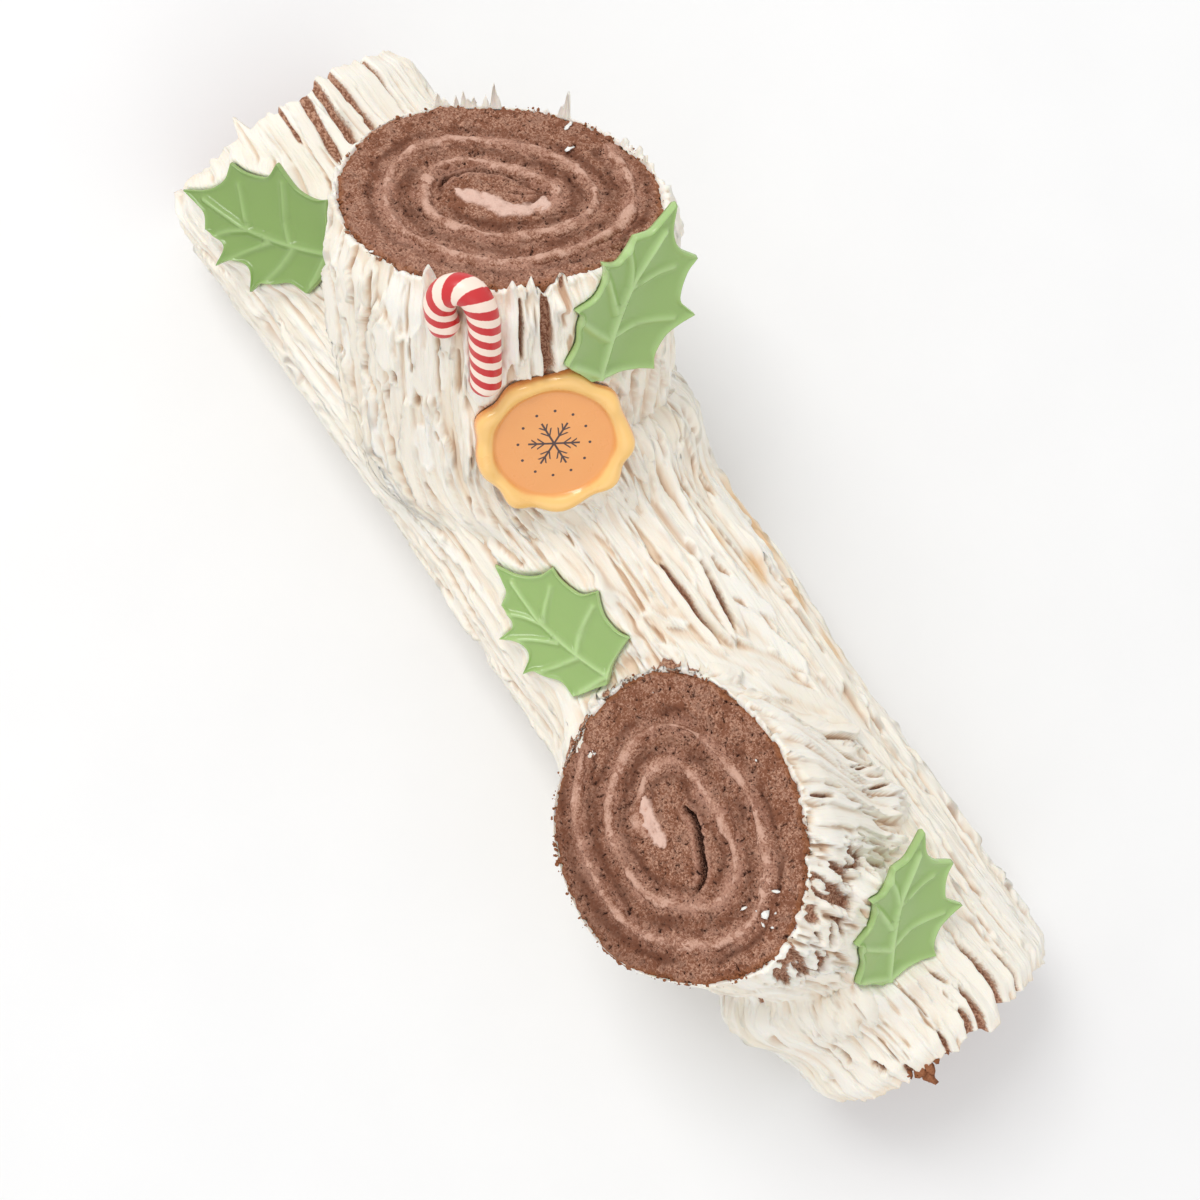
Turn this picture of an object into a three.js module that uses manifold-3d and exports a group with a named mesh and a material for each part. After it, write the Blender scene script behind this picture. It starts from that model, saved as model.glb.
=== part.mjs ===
// A yule log cake: a long chocolate Swiss roll with two short slices of the same roll set on it,
// a knifed coat of buttercream over all of it, and the sugar decorations on top.
// Millimetres, +Z up. The origin is the middle of the log's underside, +X runs along the log.
import * as THREE from 'three';
import { mergeVertices } from 'three/addons/utils/BufferGeometryUtils.js';
import Module from 'manifold-3d';

const wasm = await Module();
wasm.setup();

// ---------------------------------------------------------------- driving dimensions
const GAP = 0.3; // clearance between neighbouring solids
const TURN = 2 * Math.PI;

const LOG = {
  farX: -189,
  nearX: 193,
  halfWidth: 42.5,
  halfHeight: 40,
  axisZ: 35, // lower than the half height, so that the underside is a flat strip
  outlineSteps: 42,
  turns: 2.1, // of the rolled sponge
};

const ROLL = {
  sheet: 12, // thickness of the rolled sponge with its filling
  filling: 2.4, // thickness of the cream between two turns
  stepsPerTurn: 19,
  blob: 2.6, // the cream gathers to this half thickness in the core
};

const COAT = {
  mean: 4.2, // buttercream over the sponge, between two ridges
  floorGap: 0.6,
  lip: 3, // how far the coat runs past the cut ends
  ridge: 2.4, // mean height of a knife ridge
  flank: 1.3, // more of it on the flanks
  bulge: 3, // and still more at the middle of the log
  peakAt: 0.62, // where round the far end the coat sticks out furthest
  along: 36, // grid steps along the log
  around: 50, // grid steps round the log
  sides: 46, // grid steps round an upright slice
  rows: 6, // grid steps down an upright slice
};

// Each slice stands on the log and leans back: its cut face is an oval that looks along `normal`.
const STUMP = {
  face: [-122.4, 28.6, 120],
  normal: [-0.549, 0.28, 0.788],
  longAxisTurn: 155, // degrees from the level direction in the face to the oval's long axis
  halfLong: 51.4,
  halfShort: 43.8,
  length: 98,
  baseNormal: [0, 0.12, 0.99],
  basePoint: [-80, 0, 60],
  spiralStart: 48,
  turns: 2.5,
  wobble: 1.4,
  flare: 4,
  fillet: 15, // depth of buttercream in the corner with the log
  filletSide: 1, // the side of the log, +Y or -Y, where the corner is filled most
  seed: 7,
};

const BRANCH = {
  face: [75, -42.3, 99.3],
  normal: [-0.507, -0.396, 0.766],
  longAxisTurn: 45,
  halfLong: 53,
  halfShort: 43.6,
  length: 88,
  baseNormal: [0, -0.62, 0.78],
  basePoint: [100, -21.5, 54.5],
  spiralStart: 200,
  turns: -2.5,
  wobble: 1.8,
  flare: 3.5,
  fillet: 12,
  filletSide: -1,
  seed: 19,
};

// Long thin gaps between two knife strokes where the sponge shows:
// start and end along the log, angle round the log in degrees, half width.
const COAT_GAPS = [
  { from: -193, to: -164, angle: 87, half: 2.4 },
  { from: -193, to: -164, angle: 79, half: 2.4 },
  { from: -193, to: -166, angle: 68, half: 2.0 },
  { from: -190, to: -166, angle: 49, half: 1.8 },
  { from: 172, to: 197, angle: 72, half: 2.6 },
  { from: 180, to: 197, angle: 86, half: 2.2 },
];

const LEAF = {
  length: 55.2,
  thickness: 2.4,
  cup: 2.6, // how far the edge stands above the midrib
  rib: 0.7,
  rings: [1, 0.62, 0.28],
};

// A holly leaf's edge from its tip down one side to the stem and back up the other, in shares
// of the length: X from tip to stem, Y across.
const LEAF_EDGE = [
  [-0.5, 0], [-0.4, -0.038], [-0.335, -0.072], [-0.3, -0.154], [-0.22, -0.166], [-0.152, -0.2],
  [-0.156, -0.311], [0, -0.232], [0.06, -0.26], [0.105, -0.355], [0.21, -0.268], [0.31, -0.217],
  [0.427, -0.228], [0.456, -0.167], [0.5, -0.05], [0.5, 0.02], [0.42, 0.2], [0.397, 0.324],
  [0.21, 0.298], [0.13, 0.34], [0.055, 0.398], [-0.055, 0.268], [-0.16, 0.255], [-0.243, 0.272],
  [-0.26, 0.172], [-0.375, 0.05],
];

// Middle of each leaf, the way from its tip to its stem, the way its face looks, and its size.
const LEAVES = [
  { at: [-164.6, -31.5, 71.5], along: [0.853, 0.384, 0.354], face: [-0.062, -0.598, 0.799], size: 1.076 },
  { at: [-71.8, 40.9, 137], along: [0.425, -0.706, -0.566], face: [0.797, -0.006, 0.604], size: 1.15 },
  { at: [-1.1, -31, 71], along: [0.99, 0.127, 0.06], face: [0.011, -0.5, 0.866], size: 0.98 },
  { at: [139.5, 2.1, 100], along: [0.636, -0.56, -0.531], face: [0.686, 0.095, 0.722], size: 1.11 },
];

const CANE = {
  radius: 5,
  sides: 5, // segments in half its section
  steps: 13,
  // middle line from the foot up the leg and round the hook
  route: [
    [-75.4, -11, 126.2], [-80, -8.4, 133], [-84.4, -6.3, 139.2], [-88.5, -4.3, 144.9],
    [-92.6, -3.1, 149.8], [-96.8, -3.3, 152.8], [-100.6, -5.3, 152.6], [-102.4, -8.7, 149.8],
    [-101.4, -11.4, 145.6], [-98.5, -12.7, 141.5], [-96.2, -12.9, 139.2],
  ],
};

const SEAL = {
  at: [-47.1, -2.3, 109.6], // middle of its face
  face: [0.49, -0.32, 0.82],
  along: [0.547, 0.837, 0],
  halfLong: 25.4,
  halfShort: 24.6,
  lobes: 9,
  lobeDepth: 0.04,
  height: 5,
  steps: 36,
};

// ---------------------------------------------------------------- small helpers
const vector = ([x, y, z]) => new THREE.Vector3(x, y, z);
const radians = THREE.MathUtils.degToRad;
const smooth = (value, low, high) => THREE.MathUtils.smoothstep(value, low, high);

function seeded(seed) {
  // a repeatable stream of numbers between 0 and 1
  let state = seed >>> 0;
  return () => {
    state = (state + 0x6d2b79f5) >>> 0;
    let mixed = Math.imul(state ^ (state >>> 15), 1 | state);
    mixed = (mixed + Math.imul(mixed ^ (mixed >>> 7), 61 | mixed)) ^ mixed;
    return ((mixed ^ (mixed >>> 14)) >>> 0) / 4294967296;
  };
}

function triangles(positions, faces) {
  const geometry = new THREE.BufferGeometry();
  geometry.setAttribute('position', new THREE.Float32BufferAttribute(positions, 3));
  geometry.setIndex(faces);
  return geometry;
}

function solid(geometry) {
  const bare = geometry.clone();
  bare.deleteAttribute('normal');
  bare.deleteAttribute('uv');
  const welded = mergeVertices(bare, 1e-4);
  return new wasm.Manifold(new wasm.Mesh({
    numProp: 3,
    vertProperties: new Float32Array(welded.attributes.position.array),
    triVerts: new Uint32Array(welded.index.array),
  }));
}

function largest(body) {
  // loose crumbs that a cut leaves behind are dropped
  return body.decompose().reduce((best, part) => (part.volume() > best.volume() ? part : best));
}

function geometryOf(body, tolerance = 0.02) {
  const mesh = largest(body.simplify(tolerance)).getMesh();
  return triangles(Array.from(mesh.vertProperties), Array.from(mesh.triVerts));
}

function frameMatrix(origin, along, face) {
  // local X along the piece, local Z the way its face looks
  const zAxis = vector(face).normalize();
  const xAxis = vector(along).addScaledVector(zAxis, -vector(along).dot(zAxis)).normalize();
  const yAxis = new THREE.Vector3().crossVectors(zAxis, xAxis);
  return new THREE.Matrix4().makeBasis(xAxis, yAxis, zAxis).setPosition(vector(origin));
}

function ringsToSolid(rings) {
  // rings of equal length, stacked; the first and last are closed by fans round their middles
  const count = rings[0].length;
  const positions = rings.flat().flatMap((point) => [point.x, point.y, point.z]);
  const faces = [];
  for (let row = 0; row + 1 < rings.length; row += 1) {
    for (let step = 0; step < count; step += 1) {
      const next = (step + 1) % count;
      const low = row * count;
      const high = low + count;
      faces.push(low + step, low + next, high + next, low + step, high + next, high + step);
    }
  }
  const middle = (ring) => ring.reduce((sum, point) => sum.add(point), new THREE.Vector3())
    .multiplyScalar(1 / ring.length);
  const first = middle(rings[0]);
  const last = middle(rings.at(-1));
  positions.push(first.x, first.y, first.z, last.x, last.y, last.z);
  const hub = rings.length * count;
  const top = hub - count;
  for (let step = 0; step < count; step += 1) {
    const next = (step + 1) % count;
    faces.push(hub, next, step, hub + 1, top + step, top + next);
  }
  return triangles(positions, faces);
}

// ---------------------------------------------------------------- knife ridges
function makeRidges(seed, count, length, span) {
  // narrow ridges that lie along the stroke, at scattered places over length x span
  const random = seeded(seed);
  return Array.from({ length: count }, () => ({
    along: random() * length,
    across: random() * span,
    halfLength: 14 + 22 * random(),
    halfWidth: 2.6 + 2.2 * random(),
    height: COAT.ridge * (0.5 + random()),
    drift: (random() - 0.5) * 0.16,
  }));
}

function ridgeHeight(ridges, along, across) {
  let height = 0;
  for (const ridge of ridges) {
    const run = (along - ridge.along) / ridge.halfLength;
    if (Math.abs(run) < 1) {
      const off = across - ridge.across - ridge.drift * (along - ridge.along);
      const profile = Math.max(0, 1 - Math.abs(off) / ridge.halfWidth);
      height = Math.max(height, ridge.height * profile * (1 - run * run));
    }
  }
  return height;
}

// ---------------------------------------------------------------- the log
function logRadius(angle, grow = 0) {
  const wide = Math.cos(angle) / (LOG.halfWidth + grow);
  const high = Math.sin(angle) / (LOG.halfHeight + grow);
  return 1 / Math.hypot(wide, high);
}

function logOutline(grow = 0) {
  // the oval section, flat where it rests
  const points = [];
  for (let step = 0; step < LOG.outlineSteps; step += 1) {
    const angle = (TURN * step) / LOG.outlineSteps;
    const radius = logRadius(angle, grow);
    const height = Math.max(-grow, LOG.axisZ + radius * Math.sin(angle));
    points.push(new THREE.Vector2(radius * Math.cos(angle), height));
  }
  return points;
}

function logCore(grow, extra) {
  // section in Y and Z, carried along X
  const shape = new THREE.Shape(logOutline(grow));
  const length = LOG.nearX - LOG.farX + 2 * extra;
  const geometry = new THREE.ExtrudeGeometry(shape, { depth: length, bevelEnabled: false });
  geometry.applyMatrix4(sectionMatrix(LOG.farX - extra));
  return geometry;
}

function sectionMatrix(startX) {
  // the shape's X becomes the log's Y, its Y becomes Z, and its depth becomes X
  return new THREE.Matrix4().set(0, 0, 1, startX, 1, 0, 0, 0, 0, 1, 0, 0, 0, 0, 0, 1);
}

// ---------------------------------------------------------------- the rolled filling
function depthAt(turns) {
  // how deep under the outline the cream lies: one sheet, then one more for each further turn
  const settle = ROLL.sheet * (1 - Math.exp(-(turns + 0.04) / 0.1));
  return settle + ROLL.sheet * Math.max(0, turns - 0.35);
}

function creamShape(radiusAt, start, windings, extra) {
  // a band of cream along the spiral, with `extra` added on every side; the sign of the windings
  // is the way they go round
  const steps = Math.round(Math.abs(windings) * ROLL.stepsPerTurn);
  const middle = [];
  for (let step = 0; step <= steps; step += 1) {
    const turns = (windings * step) / steps;
    const angle = start - TURN * turns;
    const radius = radiusAt(angle) - depthAt(Math.abs(turns));
    middle.push(new THREE.Vector2(radius * Math.cos(angle), radius * Math.sin(angle)));
  }
  const outer = [];
  const inner = [];
  middle.forEach((point, index) => {
    const before = middle[Math.max(0, index - 1)];
    const after = middle[Math.min(steps, index + 1)];
    const along = after.clone().sub(before).normalize();
    const share = index / steps;
    const gather = (ROLL.blob - ROLL.filling / 2) * smooth(share, 0.9, 1);
    const half = ROLL.filling / 2 + gather + extra;
    const reach = index === 0 ? -extra : index === steps ? extra : 0;
    const across = new THREE.Vector2(-along.y, along.x).multiplyScalar(half);
    const base = point.clone().addScaledVector(along, reach);
    outer.push(base.clone().add(across));
    inner.push(base.clone().sub(across));
  });
  return new THREE.Shape([...outer, ...inner.reverse()]);
}

function logRadiusFlat(angle) {
  // as the outline, but no lower than the resting face
  const radius = logRadius(angle);
  const drop = -Math.sin(angle) * radius;
  return drop > LOG.axisZ ? (radius * LOG.axisZ) / drop : radius;
}

function buildLog() {
  const start = radians(300);
  const cream = (extra, reach) => {
    const shape = creamShape(logRadiusFlat, start, LOG.turns, extra);
    const depth = LOG.nearX - LOG.farX + 2 * reach;
    const geometry = new THREE.ExtrudeGeometry(shape, { depth, bevelEnabled: false });
    geometry.translate(0, LOG.axisZ, 0);
    return geometry.applyMatrix4(sectionMatrix(LOG.farX - reach));
  };
  const sponge = solid(logCore(0, 0)).subtract(solid(cream(GAP, 5)));
  return { log_sponge: geometryOf(sponge), log_filling: geometryOf(solid(cream(0, 0))) };
}

// ---------------------------------------------------------------- the two slices
function sliceFrame(slice) {
  // X along the oval's long axis, Z out of the cut face
  const zAxis = vector(slice.normal).normalize();
  const level = new THREE.Vector3().crossVectors(new THREE.Vector3(0, 0, 1), zAxis).normalize();
  const turned = level.clone().applyAxisAngle(zAxis, radians(slice.longAxisTurn));
  return frameMatrix(slice.face, turned.toArray(), zAxis.toArray());
}

function sliceRadius(slice, angle, grow = 0) {
  const long = Math.cos(angle) / (slice.halfLong + grow);
  const short = Math.sin(angle) / (slice.halfShort + grow);
  const uneven = slice.wobble * Math.sin(3 * angle + slice.seed) * 0.6
    + slice.wobble * Math.sin(5 * angle + 2 * slice.seed) * 0.4;
  return 1 / Math.hypot(long, short) + uneven;
}

function halfSpaceBlock(point, normal, drop) {
  // a block that fills everything above the slice's base plane, lowered by `drop`
  const size = 400;
  const block = new THREE.BoxGeometry(size, size, size);
  const zAxis = vector(normal).normalize();
  const turn = new THREE.Quaternion().setFromUnitVectors(new THREE.Vector3(0, 0, 1), zAxis);
  block.applyQuaternion(turn);
  const centre = vector(point).addScaledVector(zAxis, size / 2 - drop);
  return solid(block.translate(centre.x, centre.y, centre.z));
}

function sliceCore(slice, grow) {
  const points = Array.from({ length: LOG.outlineSteps }, (_, step) => {
    const angle = (TURN * step) / LOG.outlineSteps;
    const radius = sliceRadius(slice, angle, grow);
    return new THREE.Vector2(radius * Math.cos(angle), radius * Math.sin(angle));
  });
  const above = 40 * grow; // a grown one stands proud of the cut face
  const depth = 1.6 * slice.length + above;
  const geometry = new THREE.ExtrudeGeometry(new THREE.Shape(points), { depth, bevelEnabled: false });
  geometry.translate(0, 0, above - depth).applyMatrix4(sliceFrame(slice));
  return solid(geometry).intersect(halfSpaceBlock(slice.basePoint, slice.baseNormal, grow));
}

function buildSlice(slice, name, logBlock) {
  const start = radians(slice.spiralStart);
  const cream = (extra, reach) => {
    const shape = creamShape((angle) => sliceRadius(slice, angle), start, slice.turns, extra);
    const depth = 1.7 * slice.length + reach;
    const geometry = new THREE.ExtrudeGeometry(shape, { depth, bevelEnabled: false });
    return solid(geometry.translate(0, 0, reach - depth).applyMatrix4(sliceFrame(slice)));
  };
  const core = sliceCore(slice, 0).subtract(logBlock);
  const filling = cream(0, 0).intersect(core);
  return {
    [`${name}_sponge`]: geometryOf(core.subtract(cream(GAP, 5))),
    [`${name}_filling`]: geometryOf(filling),
  };
}

// ---------------------------------------------------------------- the buttercream
function sliceDistance(slice, toLocal, point) {
  // how far outside the slice's wall a point lies, measured across its axis
  const local = point.clone().applyMatrix4(toLocal);
  const angle = Math.atan2(local.y, local.x);
  return Math.hypot(local.x, local.y) - sliceRadius(slice, angle);
}

function coatOfLog() {
  const ridges = makeRidges(3, 150, LOG.nearX - LOG.farX + 30, 240);
  const random = seeded(11);
  const farLip = Array.from({ length: COAT.around + 1 }, (_, step) => {
    const fromPeak = (step / COAT.around - COAT.peakAt) / 0.12;
    return COAT.lip * (0.2 + random() + 1.5 * Math.exp(-fromPeak * fromPeak));
  });
  const nearLip = Array.from({ length: COAT.around + 1 }, () => COAT.lip * (0.2 + random()));
  const slices = [STUMP, BRANCH].map((slice) => ({ slice, toLocal: sliceFrame(slice).invert() }));
  const foot = radians(48);
  const rings = [];
  for (let row = 0; row <= COAT.along; row += 1) {
    const ring = [];
    for (let step = 0; step <= COAT.around; step += 1) {
      const angle = -foot + ((Math.PI + 2 * foot) * step) / COAT.around;
      const start = LOG.farX - farLip[step];
      const x = start + ((LOG.nearX + nearLip[step] - start) * row) / COAT.along;
      const bare = logRadius(angle);
      const surface = new THREE.Vector3(x, bare * Math.cos(angle), LOG.axisZ + bare * Math.sin(angle));
      let cover = COAT.mean + ridgeHeight(ridges, x - LOG.farX + 15, bare * (angle + foot));
      const bulge = COAT.flank + COAT.bulge * Math.exp(-(((x - 12) / 42) ** 2));
      cover += bulge * Math.abs(Math.cos(angle));
      for (const { slice, toLocal } of slices) {
        const away = Math.max(0, sliceDistance(slice, toLocal, surface)) / 11;
        const side = smooth(slice.filletSide * surface.y, -32, 12) * smooth(surface.z, 8, 40);
        cover += slice.fillet * Math.exp(-away * away) * side;
      }
      for (const gap of COAT_GAPS) {
        const off = Math.abs(angle - radians(gap.angle)) * bare;
        const within = x > gap.from && x < gap.to;
        if (within && off < gap.half) cover = -1.2;
      }
      const radius = bare + Math.max(cover, -1.2);
      const isFoot = step === 0 || step === COAT.around;
      const height = LOG.axisZ + radius * Math.sin(angle);
      const level = isFoot ? COAT.floorGap : Math.max(1.6 * COAT.floorGap, height);
      ring.push(new THREE.Vector3(x, radius * Math.cos(angle), level));
    }
    rings.push(ring);
  }
  return solid(ringsToSolid(rings));
}

function coatOfSlice(slice) {
  const matrix = sliceFrame(slice);
  const random = seeded(slice.seed);
  const perimeter = TURN * 50;
  const ridges = makeRidges(slice.seed + 1, 60, slice.length, perimeter);
  const rings = [];
  const spikes = Array.from({ length: COAT.sides }, () => (random() > 0.72 ? 3.6 * random() : 0));
  for (let row = 0; row <= COAT.rows; row += 1) {
    const ring = [];
    const share = row / COAT.rows;
    for (let step = 0; step < COAT.sides; step += 1) {
      const angle = (TURN * step) / COAT.sides;
      const top = spikes[step] - 1.5;
      const down = top - (slice.length + top) * share;
      const relief = ridgeHeight(ridges, -down, (perimeter * step) / COAT.sides);
      const edge = row === 0 ? 0.25 : 1;
      const cover = (COAT.mean + relief) * edge + slice.flare * Math.sin(Math.PI * Math.min(1, share * 1.1));
      const radius = sliceRadius(slice, angle) + cover;
      ring.push(new THREE.Vector3(radius * Math.cos(angle), radius * Math.sin(angle), down));
    }
    rings.push(ring);
  }
  rings.reverse();
  return solid(ringsToSolid(rings).applyMatrix4(matrix))
    .intersect(halfSpaceBlock(slice.basePoint, slice.baseNormal, 10));
}

function buildIcing(toppings) {
  let coat = coatOfLog().add(coatOfSlice(STUMP)).add(coatOfSlice(BRANCH));
  coat = coat.subtract(solid(logCore(GAP, 30)));
  for (const slice of [STUMP, BRANCH]) coat = coat.subtract(sliceCore(slice, GAP));
  for (const topping of toppings) coat = coat.subtract(topping);
  return geometryOf(coat, 0.1);
}

// ---------------------------------------------------------------- the decorations
function leafGeometry(leaf, grow = 0, above = 0) {
  // a thin cupped sheet: rings of the edge drawn in towards the middle, top and underside alike;
  // the dent that it leaves is grown a little all round and open above it
  const length = LEAF.length * leaf.size;
  const half = LEAF.thickness / 2 + grow;
  const middle = new THREE.Vector2(0.06 * length, -0.01 * length);
  const lift = (x, y) => {
    const across = Math.abs(y - middle.y) / (0.3 * length);
    return LEAF.cup * across * across + LEAF.rib * Math.exp(-((across * 4) ** 2));
  };
  const layer = (offset) => LEAF.rings.map((share) => LEAF_EDGE.map(([x, y]) => {
    const edge = new THREE.Vector2(x * length, y * length).sub(middle);
    edge.multiplyScalar(share).setLength(edge.length() + (share === 1 ? grow : 0)).add(middle);
    return new THREE.Vector3(edge.x, edge.y, lift(edge.x, edge.y) + offset);
  }));
  const rings = [...layer(-half).reverse(), ...layer(half + above)];
  const geometry = ringsToSolid(rings);
  return geometry.applyMatrix4(frameMatrix(leaf.at, leaf.along, leaf.face));
}

function caneGeometry(grow) {
  const radius = CANE.radius + grow;
  const curve = new THREE.CatmullRomCurve3(CANE.route.map(vector));
  const section = new THREE.Shape();
  section.absarc(0, 0, radius, 0, TURN);
  const tube = new THREE.ExtrudeGeometry(section, {
    steps: CANE.steps,
    curveSegments: CANE.sides,
    extrudePath: curve,
  });
  const ends = [0, 1].map((share) => {
    const ball = new THREE.SphereGeometry(radius * 0.985, 2 * CANE.sides, 6);
    const centre = curve.getPoint(share);
    return solid(ball.translate(centre.x, centre.y, centre.z));
  });
  return solid(tube).add(ends[0]).add(ends[1]);
}

const SEAL_PROFILE = [
  { share: 0.94, height: 0 },
  { share: 1, height: 1.4 },
  { share: 0.985, height: SEAL.height - 1.2 },
  { share: 0.9, height: SEAL.height },
  { share: 0.8, height: SEAL.height - 0.3 },
  { share: 0.75, height: SEAL.height - 2.2 },
];

// The dent that the disc leaves in the buttercream, open above it.
const SEAL_DENT = [
  { share: 0.95, height: -GAP },
  { share: 1.02, height: 1.2 },
  { share: 1.03, height: 3 * SEAL.height },
];

function sealGeometry(profile) {
  // a poured disc with a soft lobed rim round a sunken middle
  const rings = profile.map(({ share, height }) => Array.from({ length: SEAL.steps }, (_, step) => {
    const angle = (TURN * step) / SEAL.steps;
    const lobes = 1 + SEAL.lobeDepth * Math.cos(SEAL.lobes * angle) * smooth(share, 0.74, 0.95);
    const x = SEAL.halfLong * share * lobes * Math.cos(angle);
    const y = SEAL.halfShort * share * lobes * Math.sin(angle);
    return new THREE.Vector3(x, y, height - SEAL.height);
  }));
  return ringsToSolid(rings).applyMatrix4(frameMatrix(SEAL.at, SEAL.along, SEAL.face));
}

// ---------------------------------------------------------------- the finished cake
const FINISH = {
  sponge: { color: 0x8c6250, roughness: 0.95, metalness: 0 },
  filling: { color: 0xbe917d, roughness: 0.8, metalness: 0 },
  icing: { color: 0xf0e8da, roughness: 0.55, metalness: 0 },
  leaf: { color: 0x9bc378, roughness: 0.35, metalness: 0 },
  cane: { color: 0xc82d32, roughness: 0.3, metalness: 0 },
  seal: { color: 0xeba54b, roughness: 0.5, metalness: 0 },
};

const cake = new THREE.Group();

function place(name, geometry, finish) {
  geometry.computeVertexNormals();
  const mesh = new THREE.Mesh(geometry, new THREE.MeshStandardMaterial(finish));
  mesh.name = name;
  cake.add(mesh);
}

const logBlock = solid(logCore(GAP, 5));
const sponges = {
  ...buildLog(),
  ...buildSlice(STUMP, 'stump', logBlock),
  ...buildSlice(BRANCH, 'branch', logBlock),
};
for (const [name, geometry] of Object.entries(sponges)) {
  place(name, geometry, name.endsWith('filling') ? FINISH.filling : FINISH.sponge);
}

place('icing', buildIcing([
  ...LEAVES.map((leaf) => solid(leafGeometry(leaf, GAP, 12))),
  caneGeometry(GAP),
  solid(sealGeometry(SEAL_DENT)),
]), FINISH.icing);

LEAVES.forEach((leaf, index) => {
  place(`holly_leaf_${index + 1}`, geometryOf(solid(leafGeometry(leaf))), FINISH.leaf);
});
place('candy_cane', geometryOf(caneGeometry(0)), FINISH.cane);
place('seal_plaque', geometryOf(solid(sealGeometry(SEAL_PROFILE))), FINISH.seal);

export default cake;
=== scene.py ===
"""A yule log cake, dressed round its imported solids.

Sizes are in millimetres until a mesh is made, and the frame is the solids' own: +X along the log,
+Z up, the origin in the middle of the log's underside. Each part of the cake is a class that works
out its surfaces as numpy grids and dresses them with its own finish.
"""

from __future__ import annotations

import logging
import math
from collections.abc import Callable
from dataclasses import dataclass, field
from enum import Enum

import bpy
import numpy as np
from mathutils import Matrix, Vector

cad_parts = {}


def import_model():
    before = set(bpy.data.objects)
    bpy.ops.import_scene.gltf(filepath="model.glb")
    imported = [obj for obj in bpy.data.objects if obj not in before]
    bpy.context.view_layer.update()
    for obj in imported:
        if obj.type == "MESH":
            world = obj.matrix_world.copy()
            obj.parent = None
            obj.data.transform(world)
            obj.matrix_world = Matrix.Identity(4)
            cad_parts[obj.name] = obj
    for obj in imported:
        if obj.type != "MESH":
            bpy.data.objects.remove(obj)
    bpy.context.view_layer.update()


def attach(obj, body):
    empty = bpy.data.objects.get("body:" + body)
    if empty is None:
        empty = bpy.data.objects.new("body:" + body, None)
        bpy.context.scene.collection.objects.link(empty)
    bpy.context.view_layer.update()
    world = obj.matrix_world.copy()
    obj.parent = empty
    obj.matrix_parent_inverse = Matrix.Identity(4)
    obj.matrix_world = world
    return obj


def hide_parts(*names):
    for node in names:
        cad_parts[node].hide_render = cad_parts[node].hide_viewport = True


LOG = logging.getLogger("yule_log")
MM = 0.001
TURN = 2.0 * math.pi

Array = np.ndarray
Pair = tuple[float, float]
Triple = tuple[float, float, float]
Table = tuple[tuple[float, ...], ...]
Marks = dict[str, np.ndarray]
Reach = Callable[[float, float], float]
Material = bpy.types.Material
Socket = bpy.types.NodeSocket


# ------------------------------------------------------------------ numbers and noise
def smooth(value: Array | float, low: float, high: float) -> Array:
    """Ease numbers from 0 at `low` to 1 at `high` along 3t^2 - 2t^3."""
    share = np.clip((np.asarray(value, float) - low) / (high - low), 0.0, 1.0)
    return share * share * (3.0 - 2.0 * share)


def unit(vectors: Array) -> Array:
    """Vectors, along the last axis, scaled to length 1."""
    length = np.linalg.norm(vectors, axis=-1, keepdims=True)
    return vectors / np.maximum(length, 1e-12)


def bell(value: Array) -> Array:
    """A bell curve, exp(-v^2): 1 at 0 and falling off on both sides."""
    return np.exp(-(value**2))


def rounded(run: Array, least: float) -> Array:
    """1 along most of a line and less towards its two ends, the root of 1 - (2t - 1)^4."""
    return np.sqrt(np.clip(1 - (2 * run - 1) ** 4, least, 1))


def polar(radius: Array, angle: Array, *others: Array) -> Array:
    """Points from a radius and an angle in the plane, and any further coordinates."""
    return np.stack([radius * np.cos(angle), radius * np.sin(angle), *others], axis=-1)


def circle(count: int) -> Array:
    """Even angles right round, in radians."""
    return np.linspace(0, TURN, count, endpoint=False)


def lengths_along(line: Array) -> Array:
    """Distance from a line's first point to each of its points."""
    return np.concatenate([[0], np.cumsum(np.linalg.norm(np.diff(line, axis=0), axis=1))])


def noise(x: Array, y: Array, seed: int, wrap: int = 0) -> Array:
    """Smooth noise: random values on whole numbers, eased between the four nearest.

    Args:
        x: first coordinate, in cells.
        y: second coordinate, in cells.
        seed: which field.
        wrap: whole number of cells after which y repeats, or 0.

    Returns:
        Values between -1 and 1.
    """
    table = np.random.default_rng(seed).random((251, 257)) * 2.0 - 1.0
    x, y = np.broadcast_arrays(np.asarray(x, float), np.asarray(y, float))
    cell_x, cell_y = np.floor(x).astype(int), np.floor(y).astype(int)
    ease_x, ease_y = smooth(x - cell_x, 0, 1), smooth(y - cell_y, 0, 1)
    period = wrap or 257

    def at(step_x: int, step_y: int) -> Array:
        """The random value of a corner of each cell."""
        return table[(cell_x + step_x) % 251, (cell_y + step_y) % period % 257]

    low = at(0, 0) * (1 - ease_x) + at(1, 0) * ease_x
    high = at(0, 1) * (1 - ease_x) + at(1, 1) * ease_x
    return low * (1 - ease_y) + high * ease_y


def blur(values: Array, sigma: Pair, wrap: bool = False) -> Array:
    """Weighted mean with a bell curve, first down the rows and then across the columns.

    Args:
        values: a grid.
        sigma: width of the bell in rows and in columns.
        wrap: whether the last column meets the first.

    Returns:
        The blurred grid.
    """
    for axis in (0, 1):
        reach = int(math.ceil(2.5 * sigma[axis]))
        if reach < 1:
            continue
        mode = "wrap" if wrap and axis == 1 else "edge"
        pad = [(reach, reach) if a == axis else (0, 0) for a in (0, 1)]
        padded = np.pad(values, pad, mode=mode)
        weights = np.exp(-0.5 * (np.arange(-reach, reach + 1) / sigma[axis]) ** 2)
        count = values.shape[axis]
        total = sum(w * np.take(padded, np.arange(k, k + count), axis=axis) for k, w in enumerate(weights))
        values = total / weights.sum()
    return values


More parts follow.
